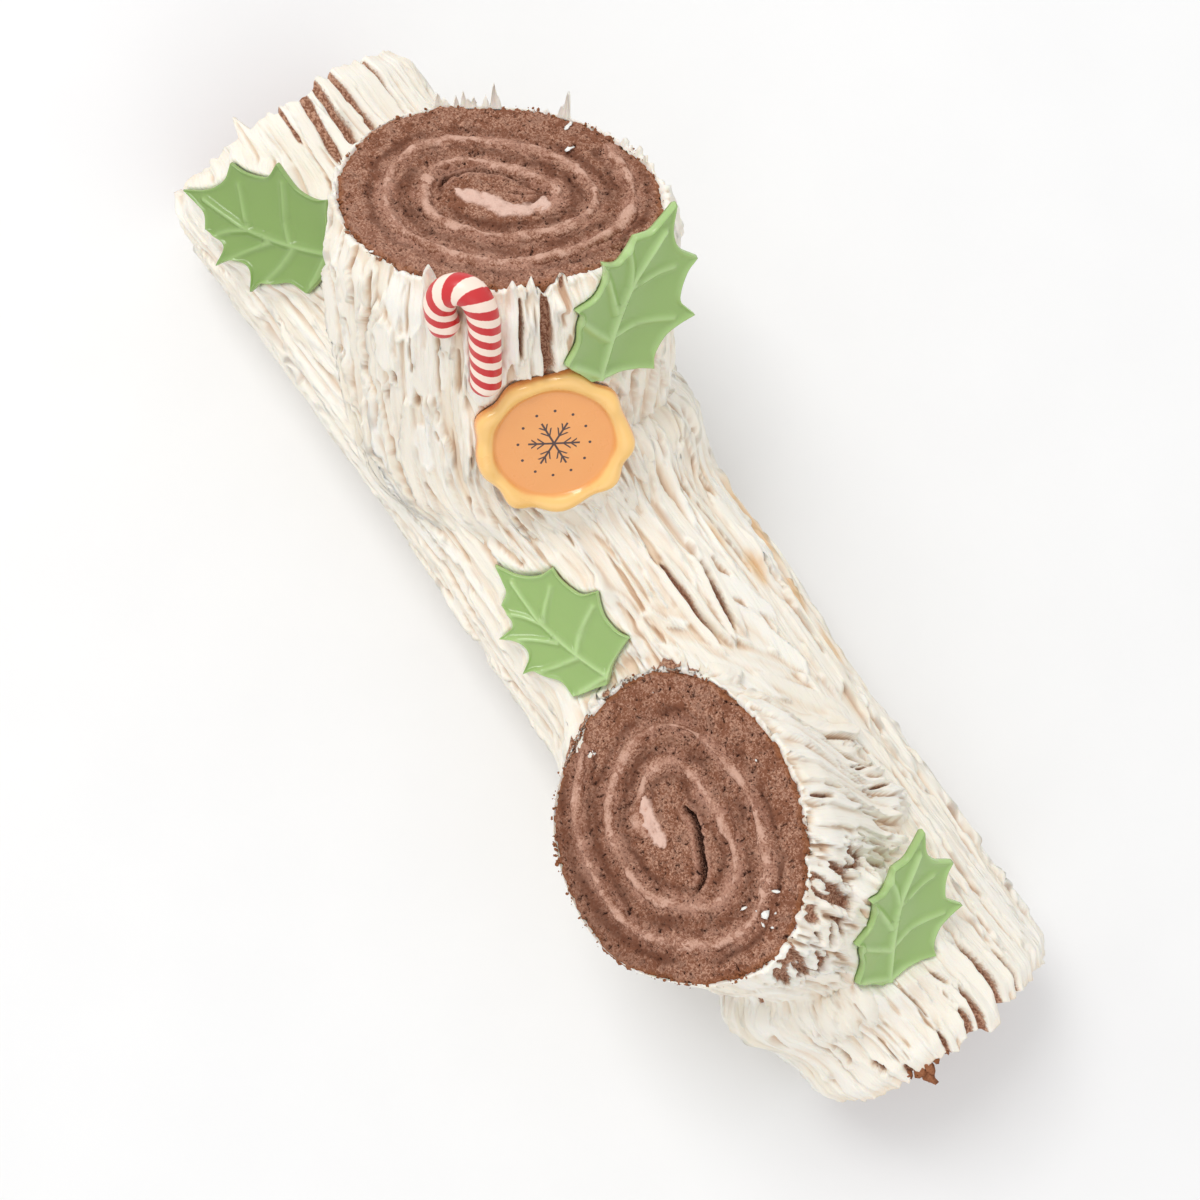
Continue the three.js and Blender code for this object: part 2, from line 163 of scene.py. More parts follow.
def round_table(table: Table, degrees: Array) -> Array:
    """A number read off a table of degrees and values, in straight pieces right round the circle."""
    keys, values = zip(*table)
    return np.interp(np.asarray(degrees) % 360, keys, values, period=360)


def curve_through(points: Array, count: int) -> Array:
    """A smooth line through points: a Catmull-Rom spline, resampled at even steps of its length.

    Args:
        points: the points, one per row.
        count: how many points to return.

    Returns:
        Evenly spaced points.
    """
    points = np.asarray(points, float)
    padded = np.vstack([2 * points[0] - points[1], points, 2 * points[-1] - points[-2]])
    share = np.linspace(0, 1, 24, endpoint=False)[None, :, None]
    p0, p1, p2, p3 = (padded[k : len(points) - 1 + k, None, :] for k in range(4))
    span = 0.5 * (
        2 * p1 + (p2 - p0) * share + (2 * p0 - 5 * p1 + 4 * p2 - p3) * share**2
        + (3 * p1 - p0 - 3 * p2 + p3) * share**3
    )
    dense = np.vstack([span.reshape(-1, points.shape[1]), points[-1:]])
    length = lengths_along(dense)
    even = np.linspace(0, length[-1], count)
    return np.stack([np.interp(even, length, dense[:, k]) for k in range(dense.shape[1])], axis=1)


def distance_to_line(points: Array, line: Array) -> tuple[Array, Array]:
    """How far points lie from a line of straight pieces, in the plane.

    Args:
        points: n x 2 points.
        line: m x 2 corners of the line.

    Returns:
        The distance, and the share of the line's length where the nearest point lies.
    """
    start, step = line[:-1], np.diff(line, axis=0)
    squared = np.maximum((step**2).sum(1), 1e-12)
    lengths = np.sqrt(squared)
    passed = np.concatenate([[0], np.cumsum(lengths)])
    best = np.full(len(points), 1e9)
    where = np.zeros(len(points))
    for k, (origin, way) in enumerate(zip(start, step)):
        share = np.clip(((points - origin) @ way) / squared[k], 0, 1)
        away = np.linalg.norm(points - origin - share[:, None] * way, axis=1)
        nearer = away < best
        best = np.where(nearer, away, best)
        where = np.where(nearer, (passed[k] + share * lengths[k]) / passed[-1], where)
    return best, where


def grid_to_line(x: Array, y: Array, corners: Array, count: int) -> tuple[Array, Array]:
    """Distance of a grid's points from a smooth line, and the share of its length where it is nearest.

    Args:
        x: first coordinate of the grid.
        y: second coordinate.
        corners: points that the line runs through.
        count: points on the smooth line.

    Returns:
        Two grids: the distance and the share.
    """
    spots = np.stack([x.ravel(), y.ravel()], axis=1)
    away, run = distance_to_line(spots, curve_through(np.array(corners), count))
    return away.reshape(x.shape), run.reshape(x.shape)


def frame_of(origin: Array, along: Array, face: Array) -> tuple[Array, Array]:
    """A local frame: Z the way a face looks, X along it, Y across it.

    Args:
        origin: where the frame sits.
        along: roughly the way of X.
        face: the way of Z.

    Returns:
        The origin, and the three axes as the rows of a matrix.
    """
    z_axis = unit(np.asarray(face, float))
    x_axis = np.asarray(along, float)
    x_axis = unit(x_axis - z_axis * (x_axis @ z_axis))
    return np.asarray(origin, float), np.array([x_axis, np.cross(z_axis, x_axis), z_axis])


# ------------------------------------------------------------------ meshes
def grid_quads(rows: int, columns: int, closed: bool = False, first: int = 0) -> Array:
    """Four-cornered faces over a grid of points that is numbered row by row.

    Args:
        rows: number of rows.
        columns: number of columns.
        closed: whether the last column joins the first.
        first: number of the grid's first point.

    Returns:
        One face per row of the array.
    """
    steps = columns if closed else columns - 1
    row, column = np.meshgrid(np.arange(rows - 1), np.arange(steps), indexing="ij")
    after = (column + 1) % columns
    here, below = row * columns, (row + 1) * columns
    quads = np.stack([here + column, here + after, below + after, below + column], axis=-1)
    return quads.reshape(-1, 4) + first


def fan(ring: Array, hub: int) -> Array:
    """Three-cornered faces between a closed ring of points and one point in its middle."""
    return np.stack([ring, np.roll(ring, -1), np.full_like(ring, hub)], axis=1)


def capped(points: Array, tips: Array) -> tuple[Array, list[Array]]:
    """Close both ends of a surface of closed rows with fans.

    Args:
        points: rows x columns x 3.
        tips: the point past the first row and the one past the last.

    Returns:
        The points as one list, and the faces.
    """
    rows, columns = points.shape[:2]
    ring = np.arange(columns)
    low = fan(ring, rows * columns)[:, ::-1]
    high = fan(ring + (rows - 1) * columns, rows * columns + 1)
    return np.vstack([points.reshape(-1, 3), tips]), [grid_quads(rows, columns, closed=True), low, high]


def tube(line: Array, side: Array, lift: Array, reach: Array, turn: Array) -> Array:
    """An uneven circle carried along a line: reach by point and by angle, side and lift across it."""
    ring = side[:, None] * np.cos(turn)[:, None] + lift[:, None] * np.sin(turn)[:, None]
    return line[:, None] + ring * reach[..., None]


def add_object(name: str, data: bpy.types.ID) -> bpy.types.Object:
    """Put a new object into the scene."""
    made = bpy.data.objects.new(name, data)
    bpy.context.scene.collection.objects.link(made)
    return made


def make_piece(
    name: str, points: Array, faces: list[Array], finish: Material,
    replaced: tuple[str, ...] = (), marks: Marks | None = None, uv: Array | None = None,
) -> bpy.types.Object:
    """Put a mesh into the scene as a piece of the cake.

    Args:
        name: the piece's name.
        points: its points, in millimetres.
        faces: arrays of faces, each with its own number of corners.
        finish: its material.
        replaced: solids that the piece stands for.
        marks: one number per point, by name.
        uv: two numbers per point for the piece's own UV map.

    Returns:
        The new object.
    """
    mesh = bpy.data.meshes.new(name)
    corners = np.concatenate([block.ravel() for block in faces]).astype(np.int32)
    sizes = np.concatenate([np.full(len(block), block.shape[1]) for block in faces])
    starts = np.concatenate([[0], np.cumsum(sizes)[:-1]]).astype(np.int32)
    flat = np.asarray(points, np.float32).reshape(-1, 3) * MM
    mesh.vertices.add(len(flat))
    mesh.vertices.foreach_set("co", flat.ravel())
    mesh.loops.add(len(corners))
    mesh.loops.foreach_set("vertex_index", corners)
    mesh.polygons.add(len(sizes))
    mesh.polygons.foreach_set("loop_start", starts)
    mesh.polygons.foreach_set("use_smooth", np.ones(len(sizes), bool))
    for label, values in (marks or {}).items():
        layer = mesh.attributes.new(label, "FLOAT", "POINT")
        layer.data.foreach_set("value", np.asarray(values, np.float32).ravel())
    if uv is not None:
        layer = mesh.uv_layers.new(name="face")
        layer.data.foreach_set("uv", np.asarray(uv, np.float32).reshape(-1, 2)[corners].ravel())
    mesh.update(calc_edges=True)
    mesh.validate()
    mesh.materials.append(finish)
    piece = add_object(name, mesh)
    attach(piece, "root")
    if replaced:
        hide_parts(*replaced)
    LOG.info("%s: %d points, %d triangles", name, len(flat), (sizes - 2).sum())
    return piece


# ------------------------------------------------------------------ shader maths
class Value:
    """A number in a node tree, with Python's operators standing for Math nodes."""

    def __init__(self, tree: Tree, socket: Socket) -> None:
        """Keep the tree and the socket that carries the number."""
        self.tree = tree
        self.socket = socket

    def apply(self, operation: str, *others: Value | float) -> Value:
        """One Math node, by its operation's name, on this value and the others."""
        inputs = dict(enumerate([self, *others]))
        return Value(self.tree, self.tree.node("ShaderNodeMath", {"operation": operation}, inputs))

    def __add__(self, other: Value | float) -> Value:
        """Sum."""
        return self.apply("ADD", other)

    __radd__ = __add__

    def __sub__(self, other: Value | float) -> Value:
        """Difference."""
        return self.apply("SUBTRACT", other)

    def __rsub__(self, other: float) -> Value:
        """A number less this value."""
        return (self * -1.0) + other

    def __mul__(self, other: Value | float) -> Value:
        """Product."""
        return self.apply("MULTIPLY", other)

    __rmul__ = __mul__

    def most(self, other: Value | float) -> Value:
        """The larger of two."""
        return self.apply("MAXIMUM", other)

    def step(self, low: float, high: float) -> Value:
        """Ease from 0 at `low` to 1 at `high`."""
        return Value(
            self.tree,
            self.tree.node(
                "ShaderNodeMapRange", {"interpolation_type": "SMOOTHSTEP"},
                {"Value": self, "From Min": low, "From Max": high},
            ),
        )


class Tree:
    """The node tree of one finish."""

    def __init__(self, name: str) -> None:
        """Make a material with an empty node tree."""
        self.material = bpy.data.materials.new(name)
        self.material.use_nodes = True
        self.nodes = self.material.node_tree.nodes
        self.links = self.material.node_tree.links
        self.nodes.clear()

    def node(
        self, kind: str, settings: dict[str, object] | None = None,
        inputs: dict[str | int, object] | None = None, output: str | int = 0,
    ) -> Socket:
        """Add a node: its settings first, then what its sockets hold.

        Args:
            kind: the node's type.
            settings: its properties; `stops` is a ramp's list of places and colours.
            inputs: a number, colour, Value or socket for each named or numbered socket.
            output: which of its sockets to return.

        Returns:
            The wanted output socket.
        """
        made = self.nodes.new(kind)
        for label, setting in (settings or {}).items():
            if label == "stops":
                self._ramp(made, setting)
            else:
                setattr(made, label, setting)
        for label, content in (inputs or {}).items():
            self._fill(made.inputs[label], content)
        return made.outputs[output] if len(made.outputs) else None

    def _fill(self, socket: Socket, content: object) -> None:
        """Link a socket to a Value or another socket, or set its number, vector or colour."""
        content = content.socket if isinstance(content, Value) else content
        if isinstance(content, Socket):
            self.links.new(content, socket)
        else:
            socket.default_value = (*content, 1.0) if socket.type == "RGBA" else content

    @staticmethod
    def _ramp(made: bpy.types.Node, stops: list[tuple[float, Triple]]) -> None:
        """Set a colour ramp's stops.

        Args:
            made: the ramp node.
            stops: place and colour of each stop.
        """
        ramp = made.color_ramp
        while len(ramp.elements) < len(stops):
            ramp.elements.new(1.0)
        for element, (place, colour) in zip(ramp.elements, stops):
            element.position = place
            element.color = (*colour, 1.0)

    def attribute(self, name: str) -> Value:
        """A number kept on the mesh's points."""
        return Value(self, self.node("ShaderNodeAttribute", {"attribute_name": name}, output="Fac"))

    def place(self, output: str = "Object") -> Socket:
        """Where a point lies, in metres."""
        return self.node("ShaderNodeTexCoord", output=output)

    def noise(self, scale: float, detail: float = 2.0, rough: float = 0.5) -> Value:
        """Cloudy noise between 0 and 1, with blotches of `scale` mm and finer layers on them."""
        inputs = {"Vector": self.place(), "Scale": 1.0 / (scale * MM), "Detail": detail, "Roughness": rough}
        return Value(self, self.node("ShaderNodeTexNoise", {}, inputs))

    def streaks(self, long: float, wide: float) -> Value:
        """Noise between 0 and 1, drawn out along the knife's flow.

        Args:
            long: length of a streak in millimetres.
            wide: its width.

        Returns:
            The noise.
        """
        sizes = {"X": ("flow_x", long), "Y": ("flow_y", wide), "Z": ("flow_z", wide)}
        place = {axis: self.attribute(name) * (1.0 / size) for axis, (name, size) in sizes.items()}
        inputs = {"Vector": self.node("ShaderNodeCombineXYZ", {}, place), "Scale": 1.0, "Detail": 2.0}
        return Value(self, self.node("ShaderNodeTexNoise", {}, inputs))

    def cells(self, scale: float, randomness: float = 1.0) -> Value:
        """Distance to the nearest of many scattered points, 0 at a point."""
        inputs = {"Vector": self.place(), "Scale": 1.0 / (scale * MM), "Randomness": randomness}
        return Value(self, self.node("ShaderNodeTexVoronoi", {}, inputs))

    def mix(self, share: Value | float, first: object, second: object) -> Socket:
        """Blend two colours.

        Args:
            share: 0 for the first, 1 for the second.
            first: a colour or a colour socket.
            second: a colour or a colour socket.

        Returns:
            The blended colour.
        """
        made = self.nodes.new("ShaderNodeMix")
        made.data_type = "RGBA"
        sockets = {socket.identifier: socket for socket in made.inputs}
        for label, content in {"Factor_Float": share, "A_Color": first, "B_Color": second}.items():
            self._fill(sockets[label], content)
        return next(socket for socket in made.outputs if socket.identifier == "Result_Color")

    def bump(self, height: Value, depth: float) -> Socket:
        """A surface normal tilted by a height field that is `depth` mm from 0 to 1."""
        inputs = {"Height": height, "Distance": depth * MM, "Strength": 1.0}
        return self.node("ShaderNodeBump", {}, inputs)

    def finish(
        self, colour: object, roughness: object, normal: object = None, **constants: object
    ) -> Material:
        """Close the tree with one Principled shader.

        Args:
            colour: the base colour.
            roughness: a number or a Value.
            normal: the surface normal, or None.
            **constants: numbers set on the shader's own sockets, with _ for a space.

        Returns:
            The material.
        """
        inputs: dict[str | int, object] = {"Base Color": colour, "Roughness": roughness}
        if normal is not None:
            inputs["Normal"] = normal
        inputs |= {label.replace("_", " "): value for label, value in constants.items()}
        shader = self.node("ShaderNodeBsdfPrincipled", {}, inputs)
        self.node("ShaderNodeOutputMaterial", {}, {"Surface": shader})
        return self.material


def tint(red: int, green: int, blue: int) -> Triple:
    """A colour of 0 to 255 a channel, as the linear light that shaders take."""
    shares = [channel / 255.0 for channel in (red, green, blue)]
    return tuple(s / 12.92 if s <= 0.04045 else ((s + 0.055) / 1.055) ** 2.4 for s in shares)


@dataclass(frozen=True)
class ButtercreamFinish:
    """Knifed buttercream: pale crests, painted warm shade in the troughs and crevices, caramel stains, and
    crumb where it is thin.
    """

    crest: Triple = tint(248, 245, 237)
    warm: Triple = tint(242, 233, 216)
    # painted shade: the warm colour of the troughs and the darker one of narrow crevices between strokes
    trough_shade: Triple = tint(234, 213, 188)
    deep_shade: Triple = tint(192, 154, 124)
    stain: Triple = tint(228, 184, 128)
    crumb: Triple = tint(204, 160, 134)
    dark_crumb: Triple = tint(140, 92, 68)

    def build(self) -> Material:
        """Make the material; it reads from the mesh the painted shade of hollows and of crevices, and
        `tone`, `bare` and `stain`.

        Returns:
            The finished material.
        """
        tree = Tree("buttercream")
        cloud = tree.noise(14.0, 3.0)
        streak = tree.streaks(18.0, 0.9)
        # painted shade: troughs of the strokes turn warm, narrow crevices darker still, with some noise
        hollow_shade = (tree.attribute("hollow_shade") + (cloud - 0.5) * 0.25 + (0.5 - streak) * 0.5).step(0.0, 1.0)
        crest = tree.mix(tree.attribute("tone"), self.crest, self.warm)
        cream = tree.mix(hollow_shade, crest, self.trough_shade)
        cream = tree.mix(tree.attribute("crevice_shade") * 0.8, cream, self.deep_shade)
        patch = (cloud * 0.8 + tree.streaks(30.0, 2.6)) * 1.15
        stained = (tree.attribute("stain") * patch).step(0.45, 1.15)
        cream = tree.mix(stained * 0.8, cream, self.stain)
        speck = tree.noise(0.9, 2.0, 0.6)
        crumb = tree.mix(speck.step(0.4, 0.62), self.dark_crumb, self.crumb)
        bare = (tree.attribute("bare") + (speck - 0.5) * 0.7).step(0.35, 0.65)
        colour = tree.mix(bare, cream, crumb)
        grain = tree.noise(1.6, 3.0, 0.55) * 0.6 + tree.noise(0.5, 2.0) * 0.4
        normal = tree.bump(grain + bare * speck * 3.0 + streak * 2.2, 0.22)
        rough = 0.42 + cloud * 0.16 + bare * 0.35
        return tree.finish(
            colour, rough, normal, Subsurface_Weight=0.2, Subsurface_Radius=(1.0, 0.7, 0.45),
            Subsurface_Scale=0.0012, Specular_IOR_Level=0.45,
        )


@dataclass(frozen=True)
class SpongeFinish:
    """Chocolate sponge: a fine open crumb with small dark pores, browner at the crust, with painted shade
    in the dips and gaps of its face.
    """

    wall: Triple = tint(206, 160, 136)
    crumb: Triple = tint(132, 84, 62)
    shade: Triple = tint(98, 57, 40)
    pore_and_shade: Triple = tint(56, 29, 21)
    crust: Triple = tint(160, 100, 62)
    smeared_and_lit: Triple = tint(196, 150, 130)
    cream: Triple = tint(228, 192, 176)

    def base(self, tree: Tree) -> tuple[Socket, Value]:
        """The crumb's own colours.

        Args:
            tree: the node tree.

        Returns:
            The colour and the fine noise under it.
        """
        fine = tree.noise(0.75, 3.0, 0.8)
        grain = tree.noise(2.2, 3.0, 0.7)
        broad = tree.noise(7.0, 3.0)
        light = (fine * 0.8 + grain * 0.3 + (broad - 0.5) * 0.4 - 0.05).step(0.43, 0.65)
        base = tree.mix(light, self.crumb, self.wall)
        return tree.mix((broad * 0.5 + grain * 0.5).step(0.5, 0.64) * 0.5, base, self.shade), fine

    def build(self) -> Material:
        """Make the material; it reads from the mesh the pores with painted shade, `crust`, the dark band
        beside the cream with painted shade, the smears with painted light, and `blob`.

        Returns:
            The finished material.
        """
        tree = Tree("sponge")
        base, fine = self.base(tree)
        # the dark band beside the cream line: the roll's own darker outer layer, with painted shade in the
        # dip there and on the branch's low side
        base = tree.mix(tree.attribute("skin_and_shade") * (fine + 0.2), base, self.shade)
        base = tree.mix(tree.attribute("crust") * (0.2 + fine), base, self.crust)
        # smeared cream beside the line, with painted light on the stump's low side
        base = tree.mix(tree.attribute("smear_and_light") * (fine * 1.8 - 0.2), base, self.smeared_and_lit)
        blob = tree.attribute("blob") * (0.5 + fine)
        base = tree.mix(blob.step(0.1, 0.8), base, self.cream)
        cell = tree.cells(1.1)
        pits = (1.0 - cell.step(0.1, 0.42)) * tree.noise(2.3, 1.0).step(0.38, 0.54)
        # dark: pores, and painted shade in the dips beside the cream and in the gaps
        dark = tree.attribute("pore_and_shade") * 1.1 + pits * 0.8 + (0.43 - fine) * 2.4 - blob * 1.4
        colour = tree.mix(dark.step(0.1, 0.95), base, self.pore_and_shade)
        normal = tree.bump(fine * 0.8 + cell.step(0.0, 0.5) * 0.2, 0.5)
        return tree.finish(colour, 0.9 + (fine - 0.5) * 0.1, normal, Specular_IOR_Level=0.2)


@dataclass(frozen=True)
class FillingFinish:
    """The cream between the turns: it fades into the crumb at its edges and is stained by it."""

    cream: Triple = tint(214, 172, 152)
    dull: Triple = tint(182, 134, 112)

    def build(self) -> Material:
        """Make the material; it reads `edge`, which is 1 where the band meets the sponge.

        Returns:
            The finished material.
        """
        tree = Tree("filling")
        base, fine = SpongeFinish().base(tree)
        cloud = tree.noise(5.0, 3.0)
        cream = tree.mix((cloud * 0.7 + fine * 0.5).step(0.45, 0.75), self.dull, self.cream)
        share = tree.attribute("edge") * 1.3 + (0.5 - fine) * 2.2 + (0.55 - cloud) * 2.8
        colour = tree.mix(share.step(0.0, 1.1), cream, base)
        normal = tree.bump(fine, 0.4)
        return tree.finish(colour, 0.78, normal, Specular_IOR_Level=0.25)


@dataclass(frozen=True)
class LeafFinish:
    """Moulded green sugar, glossy, a little lighter on its veins and edges."""

    green: Triple = tint(156, 186, 114)
    light: Triple = tint(184, 211, 148)
    dark: Triple = tint(126, 154, 84)

    def build(self) -> Material:
        """Make the material; it reads `raised` and `shade` from the mesh.

        Returns:
            The finished material.
        """
        tree = Tree("leaf_sugar")
        cloud = tree.noise(12.0, 2.0)
        grain = tree.noise(0.7, 2.0)
        share = (tree.attribute("raised") * 0.8 + (cloud - 0.5) * 0.5).step(0.0, 1.0)
        colour = tree.mix(share, self.green, self.light)
        shade = tree.attribute("shade") - tree.attribute("raised") * 0.25
        colour = tree.mix(shade.most(0.0), colour, self.dark)
        normal = tree.bump(grain * 0.5 + tree.noise(4.0, 1.0), 0.08)
        rough = 0.16 + cloud * 0.14
        return tree.finish(
            colour, rough, normal, Subsurface_Weight=0.15, Subsurface_Radius=(0.5, 1.0, 0.3),
            Subsurface_Scale=0.002,
        )


@dataclass(frozen=True)
class CandyFinish:
    """Boiled sugar with a red stripe wound round it."""

    red: Triple = tint(204, 42, 46)
    cream: Triple = tint(250, 228, 212)

    def build(self) -> Material:
        """Make the material; `stripe` is a cosine that turns once for each pitch of a stripe.

        Returns:
            The finished material.
        """
        tree = Tree("candy")
        grain = tree.noise(1.1, 2.0)
        cloud = tree.noise(5.0, 2.0)
        share = (tree.attribute("stripe") + (grain - 0.5) * 0.35).step(-0.16, 0.1)
        colour = tree.mix(share, self.cream, self.red)
        normal = tree.bump(grain * 0.4 + cloud, 0.1)
        return tree.finish(colour, 0.3 + cloud * 0.16, normal, Coat_Weight=0.15)


@dataclass(frozen=True)
class SealFinish:
    """Golden sugar paste with a dark print of a snow star in its sunken middle, and a painted highlight on
    its raised rim.
    """

    gold: Triple = tint(238, 162, 88)
    # painted highlight: the raised rim is painted paler
    rim: Triple = tint(250, 202, 122)
    ink: Triple = tint(58, 24, 22)
    # millimetres that the UV map covers
    span: float = 54.0

    def build(self) -> Material:
        """Make the material; it reads `rim` and the UV map of the mesh.

        Returns:
            The finished material.
        """
        tree = Tree("seal_paste")
        cloud = tree.noise(9.0, 3.0)
        grain = tree.noise(0.6, 2.0)
        # painted highlight on the top of the rim, broken up by noise
        share = tree.attribute("rim") * 0.9 + (cloud - 0.5) * 0.9
        base = tree.mix(share.step(0.0, 1.0), self.gold, self.rim)
        colour = tree.mix(self._print(tree), base, self.ink)
        normal = tree.bump(grain * 0.3 + cloud, 0.12)
        rough = 0.22 + cloud * 0.14
        return tree.finish(colour, rough, normal, Coat_Weight=0.5)

    def _print(self, tree: Tree) -> Value:
        """A star of six twigged arms with a ring of dots round it: 1 on the print and 0 off it.

        Args:
            tree: the finish's node tree.

        Returns:
            The mask of the print.
        """
        split = tree.node("ShaderNodeSeparateXYZ", {}, {"Vector": tree.node("ShaderNodeUVMap")})
        x, y = ((Value(tree, split.node.outputs[axis]) - 0.5) * self.span for axis in "XY")
        radius = (x * x + y * y).apply("SQRT")
        angle = y.apply("ARCTAN2", x)
        sector = TURN / 6
        fold = (angle + 3 * TURN).apply("MODULO", sector)
        fold = (fold - sector / 2).apply("ABSOLUTE") - sector / 2
        along = radius * fold.apply("COSINE")
        across = (radius * fold.apply("SINE")).apply("ABSOLUTE")

        def line(offset: Value, half: float) -> Value:
            """1 within `half` millimetres of a line."""
            return 1.0 - offset.apply("ABSOLUTE").step(half - 0.08, half + 0.08)

        marks = line(across, 0.34) * (1.0 - along.step(8.3, 8.4))
        for foot, reach in ((3.0, 2.4), (5.4, 1.9)):
            twig = line(across - (along - foot) * 0.75, 0.3) * along.step(foot - 0.1, foot)
            marks = marks.most(twig * (1.0 - along.step(foot + reach, foot + reach + 0.1)))
        ring = TURN / 12
        dot_fold = (angle + 3 * TURN + ring / 2).apply("MODULO", ring) - ring / 2
        dot_x = radius * dot_fold.apply("COSINE") - 11.6
        dot_y = radius * dot_fold.apply("SINE")
        dots = 1.0 - (dot_x * dot_x + dot_y * dot_y).apply("SQRT").step(0.42, 0.55)
        return marks.most(dots)


# ------------------------------------------------------------------ knife strokes
@dataclass(frozen=True)
class StrokeSet:
    """Many strokes of one kind; a pair of numbers is the least and the most, or mean and spread."""

    count: int
    half_length: Pair
    half_width: Pair
    level: Pair
    lip: Pair
    seed: int
    tilt: float = 0.5
    slope: Pair = (0.0, 0.05)
    bend: float = 0.03
    streak: float = 0.05
    pile: float = 0.5
    add: bool = False
    box: tuple[float, float, float, float] | None = None


@dataclass(frozen=True)
class Stroke:
    """One stroke of the knife in flow coordinates: `along` it and `across` it, in millimetres."""

    along: float
    across: float
    half_length: float
    half_width: float
    level: float
    tilt: float = 0.0
    lip_left: float = 0.0
    lip_right: float = 0.0
    slope: float = 0.0
    bend: float = 0.0
    pile: float = 0.0
    crown: float = 0.0
    streak: float = 0.04
    phase: float = 0.0
    backwards: bool = False
    tone: float = 0.0
    add: bool = False
    bare: bool = False


@dataclass
class KnifeField:
    """Height of the cream that the strokes leave, painted one over another on an even grid."""

    along: Array
    across: Array
    wrap: bool = False
    seed: int = 5
    wander: float = 2.2
    height: Array = field(init=False)
    tone: Array = field(init=False)
    drift: Array = field(init=False)
    open: Array = field(init=False)

    def __post_init__(self) -> None:
        """Start from a level coat, with a slow noise that bends all strokes of a place alike."""
        self.height = np.zeros((len(self.along), len(self.across)))
        self.tone = np.zeros_like(self.height)
        self.open = np.zeros_like(self.height)
        cells = max(4, round((self.across[-1] - self.across[0]) / 26.0))
        place = (self.across - self.across[0]) / (self.across[-1] - self.across[0]) * cells
        wide = noise(self.along[:, None] / 38.0, place[None, :], self.seed, cells if self.wrap else 0)
        self.drift = self.wander * wide

    def stroke(self, stroke: Stroke) -> None:
        """Replace the cream under one stroke by its own section, add the section to it, or bare it.

        The section is a level, a tilt from side to side, a bell-shaped lip on either side and fine
        streaks that are a sum of cosines of the way across. The stroke tapers to a point at its far
        end, where the cream piles up.

        Args:
            stroke: the stroke.
        """
        step = self.across[1] - self.across[0]
        first, last = np.searchsorted(
            self.along, [stroke.along - stroke.half_length, stroke.along + stroke.half_length]
        )
        if last - first < 2:
            return
        run = (self.along[first:last] - stroke.along)[:, None]
        share = run / stroke.half_length * (-1.0 if stroke.backwards else 1.0)
        centre = stroke.across + stroke.slope * run + stroke.bend * run * np.abs(run) / stroke.half_length
        slack = stroke.half_width + self.wander
        low = int(math.floor((centre.min() - slack - self.across[0]) / step))
        high = int(math.ceil((centre.max() + slack - self.across[0]) / step)) + 1
        if not self.wrap:
            low, high = max(low, 0), min(high, len(self.across))
        if high - low < 2:
            return
        columns = np.arange(low, high)
        where = np.ix_(np.arange(first, last), columns % len(self.across))
        place = self.across[0] + columns[None, :] * step + self.drift[where]
        taper = (0.7 + 0.3 * smooth(share, -1.0, -0.6)) * smooth(1.0 - share, 0.0, 0.6) ** 0.5
        wobble = 1.0 + 0.12 * np.sin(stroke.phase * 7 + 6.0 * share)
        width = np.maximum(stroke.half_width * taper * wobble, 0.05)
        off = (place - centre) / width
        inside = smooth((1.0 - np.abs(off)) * width, 0.0, 0.42) * smooth(1.0 - np.abs(share), 0.0, 0.05)
        if stroke.bare:
            self.open[where] = np.maximum(self.open[where], inside)
            return
        lip = 0.75 + 0.25 * np.sin(stroke.phase + 5.0 * share)
        left = stroke.lip_left * lip * bell(((1.0 + off) * width - 0.35) / 0.45)
        right = stroke.lip_right * lip * bell(((1.0 - off) * width - 0.35) / 0.45)
        across = off * width
        rate = 0.7 + 0.6 * math.sin(stroke.phase * 5) ** 2
        streaks = sum(
            strength * np.cos(rate * pace * across + stroke.phase * (3 + pace) + turn * share)
            for strength, pace, turn in ((0.5, 1.7, 1.3), (0.35, 3.1, -2.2), (0.3, 4.7, 1.9))
        )
        pile = stroke.pile * bell((share - 0.86) / 0.09) * (1.0 - np.minimum(off**2, 1.0))
        section = stroke.level + stroke.tilt * np.clip(off, -1, 1) + left + right + pile
        section = section + stroke.crown * (1.0 - np.minimum(off**2, 1.0)) + stroke.streak * streaks
        under = 0.0 if stroke.add else self.height[where]
        self.height[where] += (section - under) * inside
        if not stroke.add:
            self.tone[where] += (stroke.tone - self.tone[where]) * inside

    def scatter(self, strokes: StrokeSet, reach: Reach | None = None) -> None:
        """Paint a whole set of strokes at random places.

        Args:
            strokes: the set.
            reach: how strong the relief is at a place along and across, as a factor.
        """
        draw = np.random.default_rng(strokes.seed)
        box = strokes.box or (self.along[0], self.along[-1], self.across[0], self.across[-1])
        for _ in range(strokes.count):
            along, across = draw.uniform(*box[:2]), draw.uniform(*box[2:])
            factor = reach(along, across) if reach else 1.0
            tilt = draw.normal(0, strokes.tilt) * factor
            lip = draw.uniform(*strokes.lip) * factor
            faint = draw.uniform(0, 0.35) * lip
            self.stroke(
                Stroke(
                    along=along, across=across, half_length=draw.uniform(*strokes.half_length),
                    half_width=draw.uniform(*strokes.half_width),
                    level=strokes.level[0] * factor + draw.normal(0, strokes.level[1] * factor), tilt=tilt,
                    lip_left=lip if tilt < 0 else faint, lip_right=faint if tilt < 0 else lip,
                    slope=draw.normal(*strokes.slope), bend=draw.normal(0, strokes.bend),
                    pile=max(0.0, draw.normal(0, strokes.pile)),
                    crown=draw.uniform(-0.3, 0.3) * strokes.half_width[1] / 5.0,
                    streak=strokes.streak * draw.uniform(0.0, 2.0) ** 2 / 1.4, phase=draw.uniform(0, TURN),
                    backwards=bool(draw.random() < 0.4), tone=draw.normal(0, 1), add=strokes.add,
                )
            )

